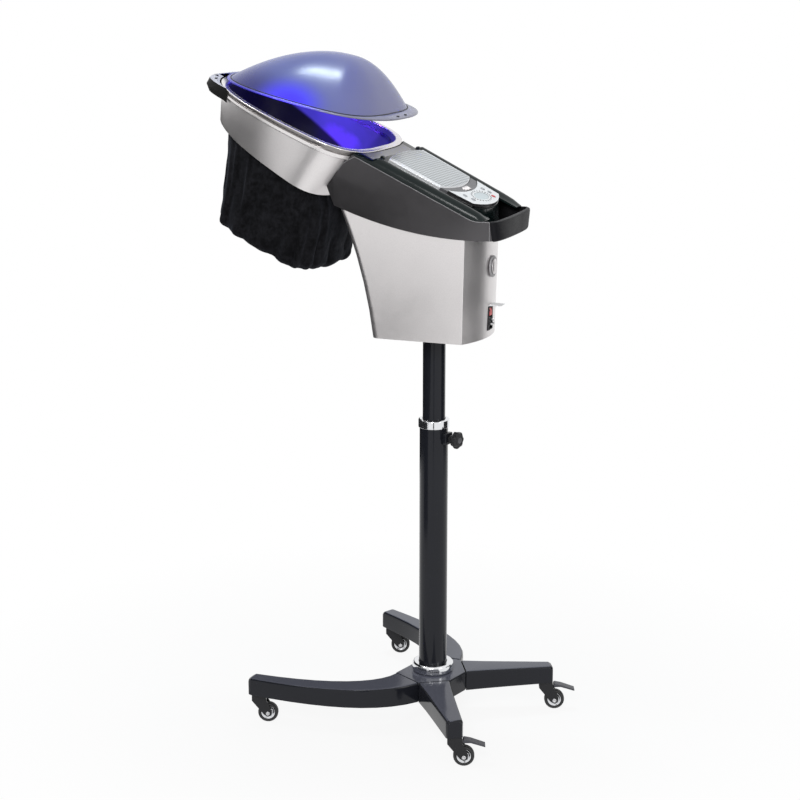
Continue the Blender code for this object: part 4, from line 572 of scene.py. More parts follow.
def board_finish(name):
    """Circuit board: green lacquer over tracks."""
    material, tree, shader = new_finish(name, coat_weight=0.3)
    tracks = tree.nodes.new("ShaderNodeTexBrick")
    tracks.inputs["Scale"].default_value = 90.0
    tracks.inputs["Mortar Size"].default_value = 0.03
    tracks.inputs["Color1"].default_value = (0.012, 0.12, 0.05, 1.0)
    tracks.inputs["Color2"].default_value = (0.016, 0.15, 0.06, 1.0)
    tracks.inputs["Mortar"].default_value = (0.05, 0.20, 0.08, 1.0)
    tree.links.new(object_place(tree), tracks.inputs["Vector"])
    handled(tree, shader, (0.30, 0.45), 30.0)
    wire(tree, shader, base_color=tracks.outputs["Color"])
    return material


FINISHES = {}
DECK_HEIGHT = 1.1416
APRON_AHEAD = 0.089
APRON_HALF = 0.100
COVER_BORDER = 0.0815


def finish_zones():
    """Places on some nodes that have another colour than the rest of the node."""
    apron = DECK_AHEAD.dot(STAND + Vector((0.0, 0.0, DECK_HEIGHT))) - APRON_AHEAD
    middle = STAND.y
    dark = (0.006, 0.006, 0.007)
    pale = (0.80, 0.81, 0.83)
    border = (COVER_BORDER, COVER_BORDER + 0.0015)
    return {
        "apron": (
            (0.26, 0.26, 0.275),
            (
                ("Object", -DECK_AHEAD, -apron - 0.0015, -apron + 0.0015),
                ("Object", DECK_SIDE, middle - APRON_HALF - 0.001, middle - APRON_HALF + 0.001),
                ("Object", -DECK_SIDE, -middle - APRON_HALF - 0.001, -middle - APRON_HALF + 0.001),
            ),
        ),
        "under": (dark, (("Normal", -DECK_UP, -0.86, -0.78),)),
        "rounded": (pale, (("Normal", -DECK_UP, -0.985, -0.955),)),
        "left_border": (pale, (("Object", -DECK_SIDE, border[0] - middle, border[1] - middle),)),
        "right_border": (pale, (("Object", DECK_SIDE, border[0] + middle, border[1] + middle),)),
        "left_inside": (dark, (("Normal", DECK_SIDE, 0.05, 0.25),)),
        "right_inside": (dark, (("Normal", -DECK_SIDE, 0.05, 0.25),)),
        "handle_inside": (dark, (("Normal", (-1.0, 0.0, 0.0), 0.25, 0.50),)),
        # Painted sheen: upward faces of the gloss black parts are painted lighter and bluer, for the sky
        # they reflect.
        "painted_top_sheen": ((0.105, 0.110, 0.140), (("Normal", (0.0, 0.0, 1.0), 0.90, 0.97),)),
        # Painted sheen: upward faces of the near-black lip are painted pale bluish grey, for the light
        # falling on them.
        "painted_lip_top_sheen": ((0.52, 0.51, 0.57), (("Normal", (0.0, 0.0, 1.0), 0.62, 0.80),)),
    }


def make_plastics(colours, zones):
    """Moulded plastics and rubbers: colour, roughness clean and marked, scale and depth of the grain."""
    grey = tuple(colours.panel_grey)
    black = tuple(colours.gloss_black)
    fine, plain, coarse = (900.0, 0.0002), (1300.0, 0.0002), (1300.0, 0.0003)
    polished = (500.0, 0.00003)
    FINISHES.update(
        lip=moulded_finish(
            "lip_grey",
            (0.009, 0.009, 0.009),
            (0.50, 0.64),
            (900.0, 0.0003),
            wear=0.1,
            specular=0.05,
            zones=[zones["painted_lip_top_sheen"]],
        ),
        bezel=moulded_finish("bezel_grey", (0.085, 0.085, 0.092), (0.30, 0.42), (1100.0, 0.0002)),
        black=moulded_finish(
            "gloss_black", black, (0.09, 0.15), polished, wear=0.6, specular=0.24, zones=[zones["painted_top_sheen"]]
        ),
        deck=moulded_finish(
            "deck_black",
            (0.005, 0.010, 0.010),
            (0.12, 0.20),
            polished,
            wear=0.0,
            specular=0.25,
            zones=[zones["apron"]],
        ),
        tube=moulded_finish(
            "tube_lacquer", black, (0.13, 0.20), (700.0, 0.00004), wear=0.25, specular=0.24
        ),
        matte=moulded_finish("satin_black", (0.014, 0.014, 0.016), (0.34, 0.48), coarse, specular=0.3),
        tyre=moulded_finish("tyre_rubber", (0.015, 0.015, 0.016), (0.52, 0.70), (900.0, 0.0004)),
        hose=moulded_finish("hose_rubber", (0.26, 0.26, 0.28), (0.50, 0.65), (700.0, 0.0004)),
        pale=moulded_finish("pale_plastic", (0.74, 0.75, 0.76), (0.34, 0.46), fine),
        button=moulded_finish("button_grey", (0.34, 0.35, 0.37), (0.34, 0.46), fine),
        pedal=moulded_finish("pedal_grey", (0.050, 0.050, 0.062), (0.36, 0.50), plain),
        # Grey of the rear cap, also used for the pale beads that are a painted highlight.
        trim=moulded_finish("trim_grey", (0.32, 0.315, 0.325), (0.30, 0.42), (900.0, 0.0001)),
        red=moulded_finish("red_plastic", (0.60, 0.025, 0.025), (0.26, 0.38), fine),
        handle=moulded_finish(
            "handle_black",
            (0.009, 0.009, 0.011),
            (0.40, 0.52),
            plain,
            wear=0.3,
            specular=0.10,
            zones=[zones["handle_inside"]],
        ),
    )
    for side in ("left", "right"):
        FINISHES[f"grey_{side}"] = moulded_finish(
            f"grained_grey_{side}",
            grey,
            (0.28, 0.38),
            (1500.0, 0.0002),
            wear=0.3,
            metallic=0.92,
            zones=[zones[f"{side}_inside"]],
        )


def make_finishes(colours):
    """Every finish by its name."""
    silver = tuple(colours.silver)
    glow = tuple(colours.glow)
    zones = finish_zones()
    make_plastics(colours, zones)
    FINISHES.update(
        silver=silver_finish("silver_paint", silver, 0.93),
        # The rim's recessed upper band is given painted shade.
        rim=silver_finish(
            "rim_silver", shade(silver, 1.04), 0.85, rough=(0.24, 0.30), band=(0.27, 0.255, 0.25)
        ),
        panel=silver_finish(
            "panel_silver", (0.80, 0.81, 0.82), 0.10, rough=(0.32, 0.42), zones=[zones["under"]]
        ),
        hatch=hatched_finish(
            "hatched_silver",
            (0.60, 0.63, 0.65),
            [zones["rounded"], zones["left_border"], zones["right_border"]],
        ),
        liner=liner_finish("dark_liner", (0.010, 0.008, 0.030)),
        chrome=metal_finish("chrome_plate", (0.80, 0.81, 0.83), (0.05, 0.12)),
        steel=metal_finish("plain_steel", (0.55, 0.55, 0.56), (0.26, 0.40), (1.0, 1.0, 14.0)),
        hub=metal_finish("wheel_disc", (0.70, 0.71, 0.73), (0.14, 0.24)),
        visor=visor_finish("visor_smoke", tuple(colours.smoke), glow),
        tank=clear_finish("tank_plastic", (0.78, 0.83, 0.87), 0.70, 0.28),
        display=clear_finish("display_window", (0.62, 0.70, 0.73), 0.15, 0.08),
        glow=glow_finish("light_strip", glow, 0.06),
        board=board_finish("circuit_board"),
        velvet=velvet_finish("velvet", tuple(colours.velvet)),
    )


def node_finishes():
    """Finish of each CAD node."""
    plan = {
        "silver": ["lower_housing", "hood_shell", "hood_rim", "latch_button"],
        "lip": ["front_lip"],
        "panel": ["control_panel"],
        "hatch": ["tank_cover"],
        "grey_left": ["side_panel_left"],
        "grey_right": ["side_panel_right"],
        "bezel": ["latch_bezel"],
        "trim": ["rear_cap"],
        "black": ["base_hub"] + [f"leg_{corner}" for corner in CORNERS],
        "deck": ["top_deck"],
        "handle": ["rear_handle"],
        "tube": ["outer_tube", "mast_tube"],
        "matte": ["bottom_plate", "clamp_knob", "power_inlet", "steam_nozzle"],
        "tyre": [f"tyre_{corner}" for corner in CORNERS],
        "hose": ["steam_pipe"],
        "liner": ["hood_liner"],
        "pale": ["guide_bush", "inlet_flap"],
        "button": list(BUTTONS[:4]),
        "red": ["button_power", "power_switch"],
        "chrome": ["base_ring", "tube_collar"],
        "steel": ["mast_socket", "boiler", "hinge_pin"],
        "hub": [f"wheel_hub_{corner}" for corner in CORNERS],
        "visor": ["visor_dome"],
        "tank": ["water_tank"],
        "display": ["display_window"],
        "glow": ["light_strip"],
        "board": ["control_board"],
        "velvet": ["curtain"],
    }
    plan["matte"] += [f"caster_fork_{corner}" for corner in CORNERS]
    plan["pedal"] = [f"brake_pedal_{corner}" for corner in CORNERS[2:]]
    return plan


# Modelling helpers


def deselect():
    """Object mode with nothing selected."""
    if bpy.context.object and bpy.context.object.mode != "OBJECT":
        bpy.ops.object.mode_set(mode="OBJECT")
    bpy.ops.object.select_all(action="DESELECT")


def only(piece):
    """Select one piece and make it active."""
    deselect()
    piece.select_set(True)
    bpy.context.view_layer.objects.active = piece


def started(name):
    """Name the primitive that was just added."""
    piece = bpy.context.active_object
    piece.name = name
    piece.data.name = name
    return piece


def linked(name, data):
    """Object on its data, linked to the scene."""
    piece = bpy.data.objects.new(name, data)
    bpy.context.scene.collection.objects.link(piece)
    return piece


def meshed(name, points, faces):
    """Piece from points and faces."""
    mesh = bpy.data.meshes.new(name)
    mesh.from_pydata(points, [], faces)
    mesh.update()
    return linked(name, mesh)


def aimed(direction):
    """Rotation that turns +Z to a direction."""
    return Vector(direction).to_track_quat("Z", "Y").to_euler()


def pick_faces(piece, test):
    """Select the faces of a piece in edit mode that pass a test."""
    mesh = bmesh.from_edit_mesh(piece.data)
    for face in mesh.faces:
        face.select_set(False)
    for face in mesh.faces:
        face.select_set(bool(test(face)))
    mesh.select_flush_mode()
    bmesh.update_edit_mesh(piece.data)


def face_out():
    """Turn all faces of the piece in edit mode outwards and leave that mode."""
    bpy.ops.mesh.select_all(action="SELECT")
    bpy.ops.mesh.normals_make_consistent(inside=False)
    bpy.ops.object.mode_set(mode="OBJECT")


def apply_modifier(piece, modifier):
    """Apply a modifier and leave its piece selected."""
    only(piece)
    bpy.ops.object.modifier_apply(modifier=modifier.name)


def soften(piece, width):
    """Bevel the sharp edges of a piece and shade it smooth."""
    modifier = piece.modifiers.new("softened", "BEVEL")
    modifier.width = width
    modifier.segments = 2
    modifier.limit_method = "ANGLE"
    modifier.angle_limit = math.radians(40.0)
    apply_modifier(piece, modifier)
    bpy.ops.object.shade_smooth_by_angle(angle=math.radians(38.0))


def settle(piece, body, finish):
    """Place in the mesh, a finish, and the body that carries the piece."""
    only(piece)
    bpy.ops.object.transform_apply(location=True, rotation=True, scale=True)
    piece.data.materials.clear()
    piece.data.materials.append(FINISHES[finish])
    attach(piece, body)


def set_down(master, finish, spots):
    """Copies of a master, each with its own mesh, at spots of name, body, place and turn."""
    for name, body, place, turn in spots:
        piece = linked(name, master.data.copy())
        piece.data.name = name
        piece.location = place
        piece.rotation_euler = turn
        settle(piece, body, finish)
    bpy.data.meshes.remove(master.data)


def start_round(name, vertices, radius, height):
    """Cylinder on the origin, in edit mode with its top face picked."""
    deselect()
    bpy.ops.mesh.primitive_cylinder_add(
        vertices=vertices, radius=radius, depth=height, location=(0.0, 0.0, height / 2)
    )
    piece = started(name)
    bpy.ops.object.transform_apply(location=True)
    bpy.ops.object.mode_set(mode="EDIT")
    bpy.ops.mesh.select_mode(type="FACE")
    pick_faces(piece, lambda face: face.normal.z > 0.9)
    return piece


def screw_head(radius, height):
    """Master of a domed head with a driven recess, standing on the origin."""
    piece = start_round("screw_head", 24, radius, height)
    bpy.ops.mesh.inset(thickness=radius * 0.30, depth=height * 0.18)
    bpy.ops.mesh.inset(thickness=radius * 0.22)
    bpy.ops.mesh.extrude_region_move(TRANSFORM_OT_translate={"value": (0.0, 0.0, 0.0)})
    bpy.ops.transform.resize(value=(0.92, 0.92, 0.92))
    bpy.ops.transform.translate(value=(0.0, 0.0, -height * 0.55))
    bpy.ops.object.mode_set(mode="OBJECT")
    soften(piece, radius * 0.07)
    return piece


def disc(radius, height):
    """Master of a round plate with a raised, slightly domed middle, standing on the origin."""
    piece = start_round("disc", 40, radius, height)
    bpy.ops.mesh.inset(thickness=radius * 0.14)
    bpy.ops.mesh.inset(thickness=radius * 0.05, depth=height * 0.35)
    bpy.ops.mesh.inset(thickness=radius * 0.40, depth=height * 0.25)
    bpy.ops.object.mode_set(mode="OBJECT")
    soften(piece, height * 0.12)
    return piece


def bar(length, width, height):
    """Master of a small softened bar along X, standing on the origin."""
    deselect()
    bpy.ops.mesh.primitive_cube_add(size=1.0, location=(0.0, 0.0, height / 2))
    piece = started("bar")
    piece.scale = (length, width, height)
    bpy.ops.object.transform_apply(location=True, rotation=False, scale=True)
    soften(piece, min(length, width, height) * 0.3)
    return piece


def laid(along, up):
    """Rotation of a bar that lies along a direction on a surface that looks up another."""
    along, up = Vector(along).normalized(), Vector(up).normalized()
    return Matrix((along, up.cross(along), up)).transposed().to_euler()


def deck_level(node):
    """Height of a node's highest point over the deck's normal."""
    return max(vertex.co.dot(DECK_UP) for vertex in NODES[node].data.vertices)


def node_middle(node):
    """Middle of a node's box."""
    low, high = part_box(node)
    return (low + high) / 2


def on_deck(middle, ahead, side, level):
    """Point beside a middle, along and across the deck, at a height over its normal."""
    point = Vector(middle) + DECK_AHEAD * ahead + DECK_SIDE * side
    return point + DECK_UP * (level - point.dot(DECK_UP))


# Softened CAD nodes, with the turns in degrees past which an edge is sharp


SHADING_LIMIT = 31.0
BEVEL_LIMIT = 28.0
RAIL_LIMIT = 78.0


def make_shading_group(name, limit):
    """Geometry nodes that shade a welded mesh smooth except over edges sharper than a limit."""
    group = bpy.data.node_groups.new(name, "GeometryNodeTree")
    group.is_modifier = True
    group.interface.new_socket("Geometry", in_out="INPUT", socket_type="NodeSocketGeometry")
    group.interface.new_socket("Geometry", in_out="OUTPUT", socket_type="NodeSocketGeometry")
    given, result = group.nodes.new("NodeGroupInput"), group.nodes.new("NodeGroupOutput")
    faces = group.nodes.new("GeometryNodeSetShadeSmooth")
    edges = group.nodes.new("GeometryNodeSetShadeSmooth")
    edges.domain = "EDGE"
    turn = group.nodes.new("GeometryNodeInputMeshEdgeAngle")
    gentle = group.nodes.new("FunctionNodeCompare")
    gentle.operation = "LESS_THAN"
    gentle.inputs["B"].default_value = math.radians(limit)
    group.links.new(turn.outputs["Unsigned Angle"], gentle.inputs["A"])
    group.links.new(given.outputs["Geometry"], faces.inputs["Geometry"])
    group.links.new(faces.outputs["Geometry"], edges.inputs["Geometry"])
    group.links.new(gentle.outputs["Result"], edges.inputs["Shade Smooth"])
    group.links.new(edges.outputs["Geometry"], result.inputs["Geometry"])
    return group


def edge_widths():
    """Bevel width in metres and number of segments for the nodes whose edges are rounded."""
    widths = {
        "base_hub": (0.0028, 3),
        "lower_housing": (0.0022, 3),
        "hood_shell": (0.0010, 2),
        "side_panel_left": (0.0016, 2),
        "side_panel_right": (0.0016, 2),
        "top_deck": (0.0008, 2),
        "rear_handle": (0.0016, 3),
        "tank_cover": (0.0040, 4),
        "latch_bezel": (0.0010, 2),
        "latch_button": (0.0006, 2),
        "control_panel": (0.0012, 3),
        "front_lip": (0.0028, 3),
        "clamp_knob": (0.0012, 2),
        "base_ring": (0.0012, 3),
        "tube_collar": (0.0010, 3),
        "rear_cap": (0.0008, 2),
        "bottom_plate": (0.0010, 2),
        "power_inlet": (0.0006, 2),
        "power_switch": (0.0007, 2),
        "inlet_flap": (0.0004, 2),
    }
    for corner in CORNERS:
        widths[f"leg_{corner}"] = (0.0028, 3)
        widths[f"caster_fork_{corner}"] = (0.0010, 2)
        widths[f"tyre_{corner}"] = (0.0022, 3)
        widths[f"wheel_hub_{corner}"] = (0.0008, 2)
    for corner in CORNERS[2:]:
        widths[f"brake_pedal_{corner}"] = (0.0009, 2)
    for button in BUTTONS:
        widths[button] = (0.0006, 2)
    return widths


def soften_node(node, group, limit, width, segments):
    """Weld a CAD node's loose triangles, round its edges and shade it, by modifiers only."""
    weld = node.modifiers.new("weld", "WELD")
    weld.merge_threshold = 0.00001
    if width:
        flat = node.modifiers.new("flat", "DECIMATE")
        flat.decimate_type = "DISSOLVE"
        flat.angle_limit = math.radians(0.6)
        bevel = node.modifiers.new("rounded", "BEVEL")
        bevel.width = width
        bevel.segments = segments
        bevel.limit_method = "ANGLE"
        bevel.angle_limit = math.radians(limit)
        bevel.miter_outer = "MITER_ARC"
    shading = node.modifiers.new("shading", "NODES")
    shading.node_group = group
    if width:
        normals = node.modifiers.new("normals", "WEIGHTED_NORMAL")
        normals.keep_sharp = True


class STEAMER_OT_soften_nodes(bpy.types.Operator):
    """Round the edges of the CAD nodes and shade them smooth"""

    bl_idname = "steamer.soften_nodes"
    bl_label = "Soften CAD nodes"

    def execute(self, context):
        plain = make_shading_group("soft_shading", SHADING_LIMIT)
        rails = make_shading_group("rail_shading", RAIL_LIMIT)
        widths = edge_widths()
        for name, node in NODES.items():
            width, segments = widths.get(name, (0.0, 1))
            if name == "top_deck":
                soften_node(node, rails, RAIL_LIMIT, width, segments)
            else:
                soften_node(node, plain, BEVEL_LIMIT, width, segments)
        return {"FINISHED"}


# Hood rim and visor, on the same egg-shaped rings as the hood


HOOD = {
    "centre": ((-0.2106, 1.2309), (-0.2659, 1.1462)),
    "tilt": (math.radians(22.45), math.radians(31.7)),
    "front": (0.2406, 0.2048),
    "rear": (0.1130, 0.0880),
    "half": (0.1750, 0.1570),
}
RING_SIDES = 192
HOOD_BLUNT = 3.2
HOOD_LOBE = 2.5


def egg(angle, blunt):
    """Point of an egg-shaped outline of unit size: blunt towards the rear, rounder in front."""
    c, s = math.cos(angle), math.sin(angle)
    power = 2.0 / (blunt if c > 0 else HOOD_LOBE)
    return math.copysign(abs(c) ** power, c), math.copysign(abs(s) ** power, s)


def egg_ring(front, rear, half, blunt, centre, tilt, rise):
    """Egg-shaped ring in a plane that falls towards the rear, in the frame's coordinates."""
    c, s = math.cos(tilt), math.sin(tilt)
    points = []
    for k in range(RING_SIDES):
        u, v = egg(2.0 * math.pi * k / RING_SIDES, blunt)
        u *= rear if u > 0 else front
        points.append(Vector((centre[0] + u * c + rise * s, v * half, centre[1] - u * s + rise * c)) + STAND)
    return points


def hood_ring(level, offset, rise=0.0):
    """Ring of the hood's wall at a level from 0, the rim, to 1, the lower edge."""

    def at(pair):
        return pair[0] + (pair[1] - pair[0]) * level

    first, last = HOOD["centre"]
    centre = at((first[0], last[0])), at((first[1], last[1]))
    sizes = [at(HOOD[key]) + offset for key in ("front", "rear", "half")]
    return egg_ring(*sizes, HOOD_BLUNT, centre, at(HOOD["tilt"]), rise)


def hood_level(depth):
    """Level of the hood's wall at a depth under the rim plane."""
    first, last = (Vector(pair) for pair in HOOD["centre"])
    tilt = HOOD["tilt"][0]
    return depth / (first - last).dot(Vector((math.sin(tilt), math.cos(tilt))))


def ring_mesh(name, rings, closed=False, marked=()):
    """Mesh through rings of points; a ring of one point is a pole. Marked rings are 1 in "band"."""
    mesh = bmesh.new()
    layer = mesh.verts.layers.float.new("band")
    loops = [[mesh.verts.new(point) for point in ring] for ring in rings]
    for index in marked:
        for vertex in loops[index]:
            vertex[layer] = 1.0
    pairs = list(zip(loops, loops[1:]))
    if closed:
        pairs.append((loops[-1], loops[0]))
    for low, high in pairs:
        count = max(len(low), len(high))
        for k in range(count):
            n = (k + 1) % count
            corners = [low[k % len(low)], low[n % len(low)], high[n % len(high)], high[k % len(high)]]
            mesh.faces.new(list(dict.fromkeys(corners)))
    bmesh.ops.recalc_face_normals(mesh, faces=mesh.faces)
    data = bpy.data.meshes.new(name)
    mesh.to_mesh(data)
    mesh.free()
    piece = linked(name, data)
    only(piece)
    bpy.ops.object.shade_smooth_by_angle(angle=math.radians(50.0))
    return piece


# Rim profile: offset and rise of its top, then depth and offset of its outer wall
RIM_TOP = (
    (-0.0110, -0.0010),
    (-0.0111, 0.0003),
    (-0.0106, 0.0014),
    (-0.0096, 0.0019),
    (0.0002, 0.0020),
    (0.0012, 0.0017),
    (0.0019, 0.0009),
    (0.0022, -0.0003),
)
RIM_WALL = (
    (0.0070, 0.0013),
    (0.0077, 0.0010),
    (0.0080, 0.0008),
    (0.0089, 0.0008),
    (0.0091, 0.0022),
    (0.0096, 0.0030),
    (0.0150, 0.0038),
    (0.0162, 0.0038),
    (0.0170, 0.0032),
    (0.0173, 0.0022),
    (0.0174, 0.0003),
)
RIM_SEAT = (0.0003, -0.0010)
SHADED_GROOVE_RINGS = 5


class STEAMER_OT_mould_rim(bpy.types.Operator):
    """Mould the stepped rim along the hood's upper edge"""

    bl_idname = "steamer.mould_rim"
    bl_label = "Mould hood rim"

    def execute(self, context):
        rings = [hood_ring(0.0, offset, rise) for offset, rise in RIM_TOP]
        rings += [hood_ring(hood_level(depth), offset) for depth, offset in RIM_WALL]
        rings.append(hood_ring(0.0, *RIM_SEAT))
        # The rings of the recessed groove are marked to take painted shade.
        groove = len(RIM_TOP) - 1
        rim = ring_mesh("rim_moulding", rings, closed=True, marked=range(groove, groove + SHADED_GROOVE_RINGS))
        settle(rim, "head", "rim")
        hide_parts("hood_rim")
        return {"FINISHED"}


VISOR_HINGE = Vector(JOINTS["visor_hinge"]["pos_m"])
VISOR_SWING = math.radians(10.0)
VISOR_LEAN = HOOD["tilt"][0] - VISOR_SWING
VISOR_AHEAD = Vector((math.cos(VISOR_LEAN), 0.0, -math.sin(VISOR_LEAN)))
VISOR_UP = Vector((math.sin(VISOR_LEAN), 0.0, math.cos(VISOR_LEAN)))
FLANGE = (0.2290, 0.1400, 0.1790)
FLANGE_BLUNT = 2.6
DOME = (0.2230, 0.1090, 0.1690)
DOME_HEIGHT = 0.0900
DOME_BASE = 0.0070
DOME_STEPS = 30
DOME_ROUNDING = 0.7
VISOR_LIFT = 0.0040
VISOR_SKIN = 0.0025
# Rounded edge of the flange: offset from its outline, and rise over the rim plane
FLANGE_EDGE = (
    (-0.0009, DOME_BASE),
    (-0.0002, DOME_BASE - 0.0007),
    (0.0, DOME_BASE - 0.0015),
    (-0.0002, VISOR_LIFT + 0.0007),
    (-0.0009, VISOR_LIFT),
)
SEAM_RADIUS = 0.0011
SEAM_OFFSET = 0.0004
SEAM_RISE = 0.0006
SEAM_SIDES = 8
KNUCKLE_HALF = 0.0420
KNUCKLE_RADIUS = 0.0072
KNUCKLE_WALL = 0.0041
# Profile of the arm from the hinge, along the flange and up from it
ARM_PROFILE = (
    (0.0, 0.0040),
    (0.0, 0.0070),
    (0.0255, 0.0155),
    (0.0338, 0.0153),
    (0.0338, 0.0129),
    (0.0200, 0.0129),
)


def grown(sizes, by):
    """Sizes of an outline with an offset all round."""
    return [size + by for size in sizes]


def visor_ring(sizes, rise, blunt=HOOD_BLUNT):
    """Ring of the visor in the rim's plane, swung open about its hinge."""
    swing = Matrix.Rotation(-VISOR_SWING, 3, "Y")
    flat = egg_ring(*sizes, blunt, HOOD["centre"][0], HOOD["tilt"][0], rise)
    return [VISOR_HINGE + swing @ (point - VISOR_HINGE) for point in flat]


def dome_rings(inset):
    """Rings of the dome from its root to just under the crown, and the crown."""
    rings = []
    for k in range(DOME_STEPS):
        scale = math.cos(0.5 * math.pi * k / DOME_STEPS)
        rise = DOME_BASE + (DOME_HEIGHT - inset) * (1.0 - scale * scale)
        sizes = [(size - inset) * scale for size in DOME]
        rings.append(visor_ring(sizes, rise, HOOD_BLUNT - DOME_ROUNDING * k / DOME_STEPS))
    crown = visor_ring((0.001, 0.001, 0.001), DOME_BASE + DOME_HEIGHT - inset)
    rings.append([sum(crown, Vector()) / len(crown)])
    return rings


class STEAMER_OT_blow_visor(bpy.types.Operator):
    """Form the smoky dome with its flange, seam bead, hinge knuckle and arm"""

    bl_idname = "steamer.blow_visor"
    bl_label = "Form visor"

    def execute(self, context):
        self.form_dome()
        self.form_seam()
        self.form_knuckle()
        self.form_arm()
        return {"FINISHED"}

    def form_dome(self):
        """Outer skin, rounded flange and inner skin in one shell; the flange is its band."""
        outer, inner = dome_rings(0.0), dome_rings(VISOR_SKIN)
        rings = list(reversed(outer))
        rings += [visor_ring(grown(FLANGE, by), rise, FLANGE_BLUNT) for by, rise in FLANGE_EDGE]
        rings.append(visor_ring(grown(DOME, -VISOR_SKIN), VISOR_LIFT))
        rings += inner[1:]
        flange = range(len(outer), len(outer) + len(FLANGE_EDGE) + 1)
        glass = ring_mesh("visor_glass", rings, marked=flange)
        settle(glass, "visor", "visor")
        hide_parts("visor_dome")

    def form_seam(self):
        """Round bead along the dome's root."""
        rings = []
        for k in range(SEAM_SIDES):
            angle = 2.0 * math.pi * k / SEAM_SIDES
            sizes = grown(DOME, SEAM_OFFSET + SEAM_RADIUS * math.cos(angle))
            rings.append(visor_ring(sizes, DOME_BASE + SEAM_RISE + SEAM_RADIUS * math.sin(angle)))
        seam = ring_mesh("visor_seam", rings, closed=True)
        settle(seam, "visor", "matte")

    def form_knuckle(self):
        """Hollow knuckle round the hinge pin."""
        deselect()
        bpy.ops.mesh.primitive_cylinder_add(
            vertices=40,
            radius=KNUCKLE_RADIUS,
            depth=2.0 * KNUCKLE_HALF,
            end_fill_type="NOTHING",
            location=VISOR_HINGE,
            rotation=aimed(DECK_SIDE),
        )
        knuckle = started("visor_knuckle")
        wall = knuckle.modifiers.new("wall", "SOLIDIFY")
        wall.thickness = KNUCKLE_WALL
        wall.offset = -1.0
        apply_modifier(knuckle, wall)
        soften(knuckle, 0.0006)
        settle(knuckle, "visor", "lip")

    def form_arm(self):
        """Broad arm from the knuckle to the flange's front edge, a profile extruded along the hinge."""
        start = VISOR_HINGE - DECK_SIDE * KNUCKLE_HALF
        outline = [tuple(start + VISOR_AHEAD * u + VISOR_UP * n) for u, n in ARM_PROFILE]
        arm = meshed("visor_arm", outline, [tuple(range(len(outline)))])
        only(arm)
        bpy.ops.object.mode_set(mode="EDIT")
        bpy.ops.mesh.select_all(action="SELECT")
        along = DECK_SIDE * (2.0 * KNUCKLE_HALF)
        bpy.ops.mesh.extrude_region_move(TRANSFORM_OT_translate={"value": along})
        face_out()
        soften(arm, 0.0005)
        settle(arm, "visor", "visor")


# Small hardware, and pale beads as painted highlight


WORLD_UP = Vector((0.0, 0.0, 1.0))
REARWARD = Vector((1.0, 0.0, 0.0))
SIDES = (("left", -1.0), ("right", 1.0))
SUNK = 0.0001
BOLT_HEIGHT = 0.0015
FORK_FACE = 0.0123
KNOB_FACE = 0.0240
KNOB_CAP = (0.0062, 0.0010)
DOT_COUNT = 22
DOT_RING = (0.0178, 0.0375)
DOT_HEIGHT = 0.0004
LAMP_PLACES = ((0.013, 0.048), (0.002, -0.047))
LAMP_SIZE = (0.004, 0.0014, 0.0005)
RIB_COUNT = 4
RIB_STEP = 0.006
RIB_SIZE = (0.0080, 0.0016, 0.0006)
BOSS_SIDE = 0.0940
BOSS_SIZE = (0.0042, 0.0070)
# Pale bead along each side panel's upper edge, a painted highlight: steps, start and end along the panel,
# radius, drop under the edge and height of its foot.
HIGHLIGHT_BEAD_STEPS = 24
HIGHLIGHT_BEAD_START = 0.0280
HIGHLIGHT_BEAD_END = 0.0005
HIGHLIGHT_BEAD_RADIUS = 0.0005
HIGHLIGHT_BEAD_DROP = 0.0006
HIGHLIGHT_BEAD_FOOT = 0.0030
LIP_SCREWS = ((-0.4290, 0.088), (-0.4400, 0.062))
LIP_SCREW_HEIGHT = 0.0014
STUD_INSET = 0.0100
STUD_POINTS = (2, -2)
STUD_SIZE = (0.0030, 0.0014)
CAP_DISC = (0.0150, 0.0016)
CONTACTS = ((0.0, 0.0205), (-0.0060, 0.0125), (0.0060, 0.0125))
CONTACT_SIZE = (0.0044, 0.0016, 0.0060)
PLATE_SCREWS = ((0.035, -0.062), (0.035, 0.062), (0.180, -0.062), (0.180, 0.062))
PLATE_SCREW_HEIGHT = 0.0016


def surface(node, start, way):
    """Place where a ray meets a CAD node."""
    found, place, normal, face = NODES[node].ray_cast(Vector(start), Vector(way))
    if not found:
        raise RuntimeError(f"no surface of {node} on that ray")
    return place


def bead(name, line, radius, body, finish):
    """Thin round strip along an open line of points."""
    curve = bpy.data.curves.new(name, "CURVE")
    curve.dimensions = "3D"
    curve.bevel_depth = radius
    curve.bevel_resolution = 2
    curve.use_fill_caps = True
    spline = curve.splines.new("POLY")
    spline.points.add(len(line) - 1)
    for point, place in zip(spline.points, line):
        point.co = (*place, 1.0)
    piece = linked(name, curve)
    only(piece)
    bpy.ops.object.convert(target="MESH")
    bpy.ops.object.shade_smooth_by_angle(angle=math.radians(50.0))
    settle(piece, body, finish)


def panel_top(node, x, out, step=0.0005):
    """Highest place on the outer face of a side panel at a distance along it."""
    low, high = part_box(node)
    level = high.z - step
    while level > low.z:
        start = Vector((x, low.y - 0.05 if out < 0 else high.y + 0.05, level))
        found, place, normal, face = NODES[node].ray_cast(start, Vector((0.0, -out, 0.0)))
        if found:
            return place
        level -= step
    raise RuntimeError(f"no outer face of {node} there")


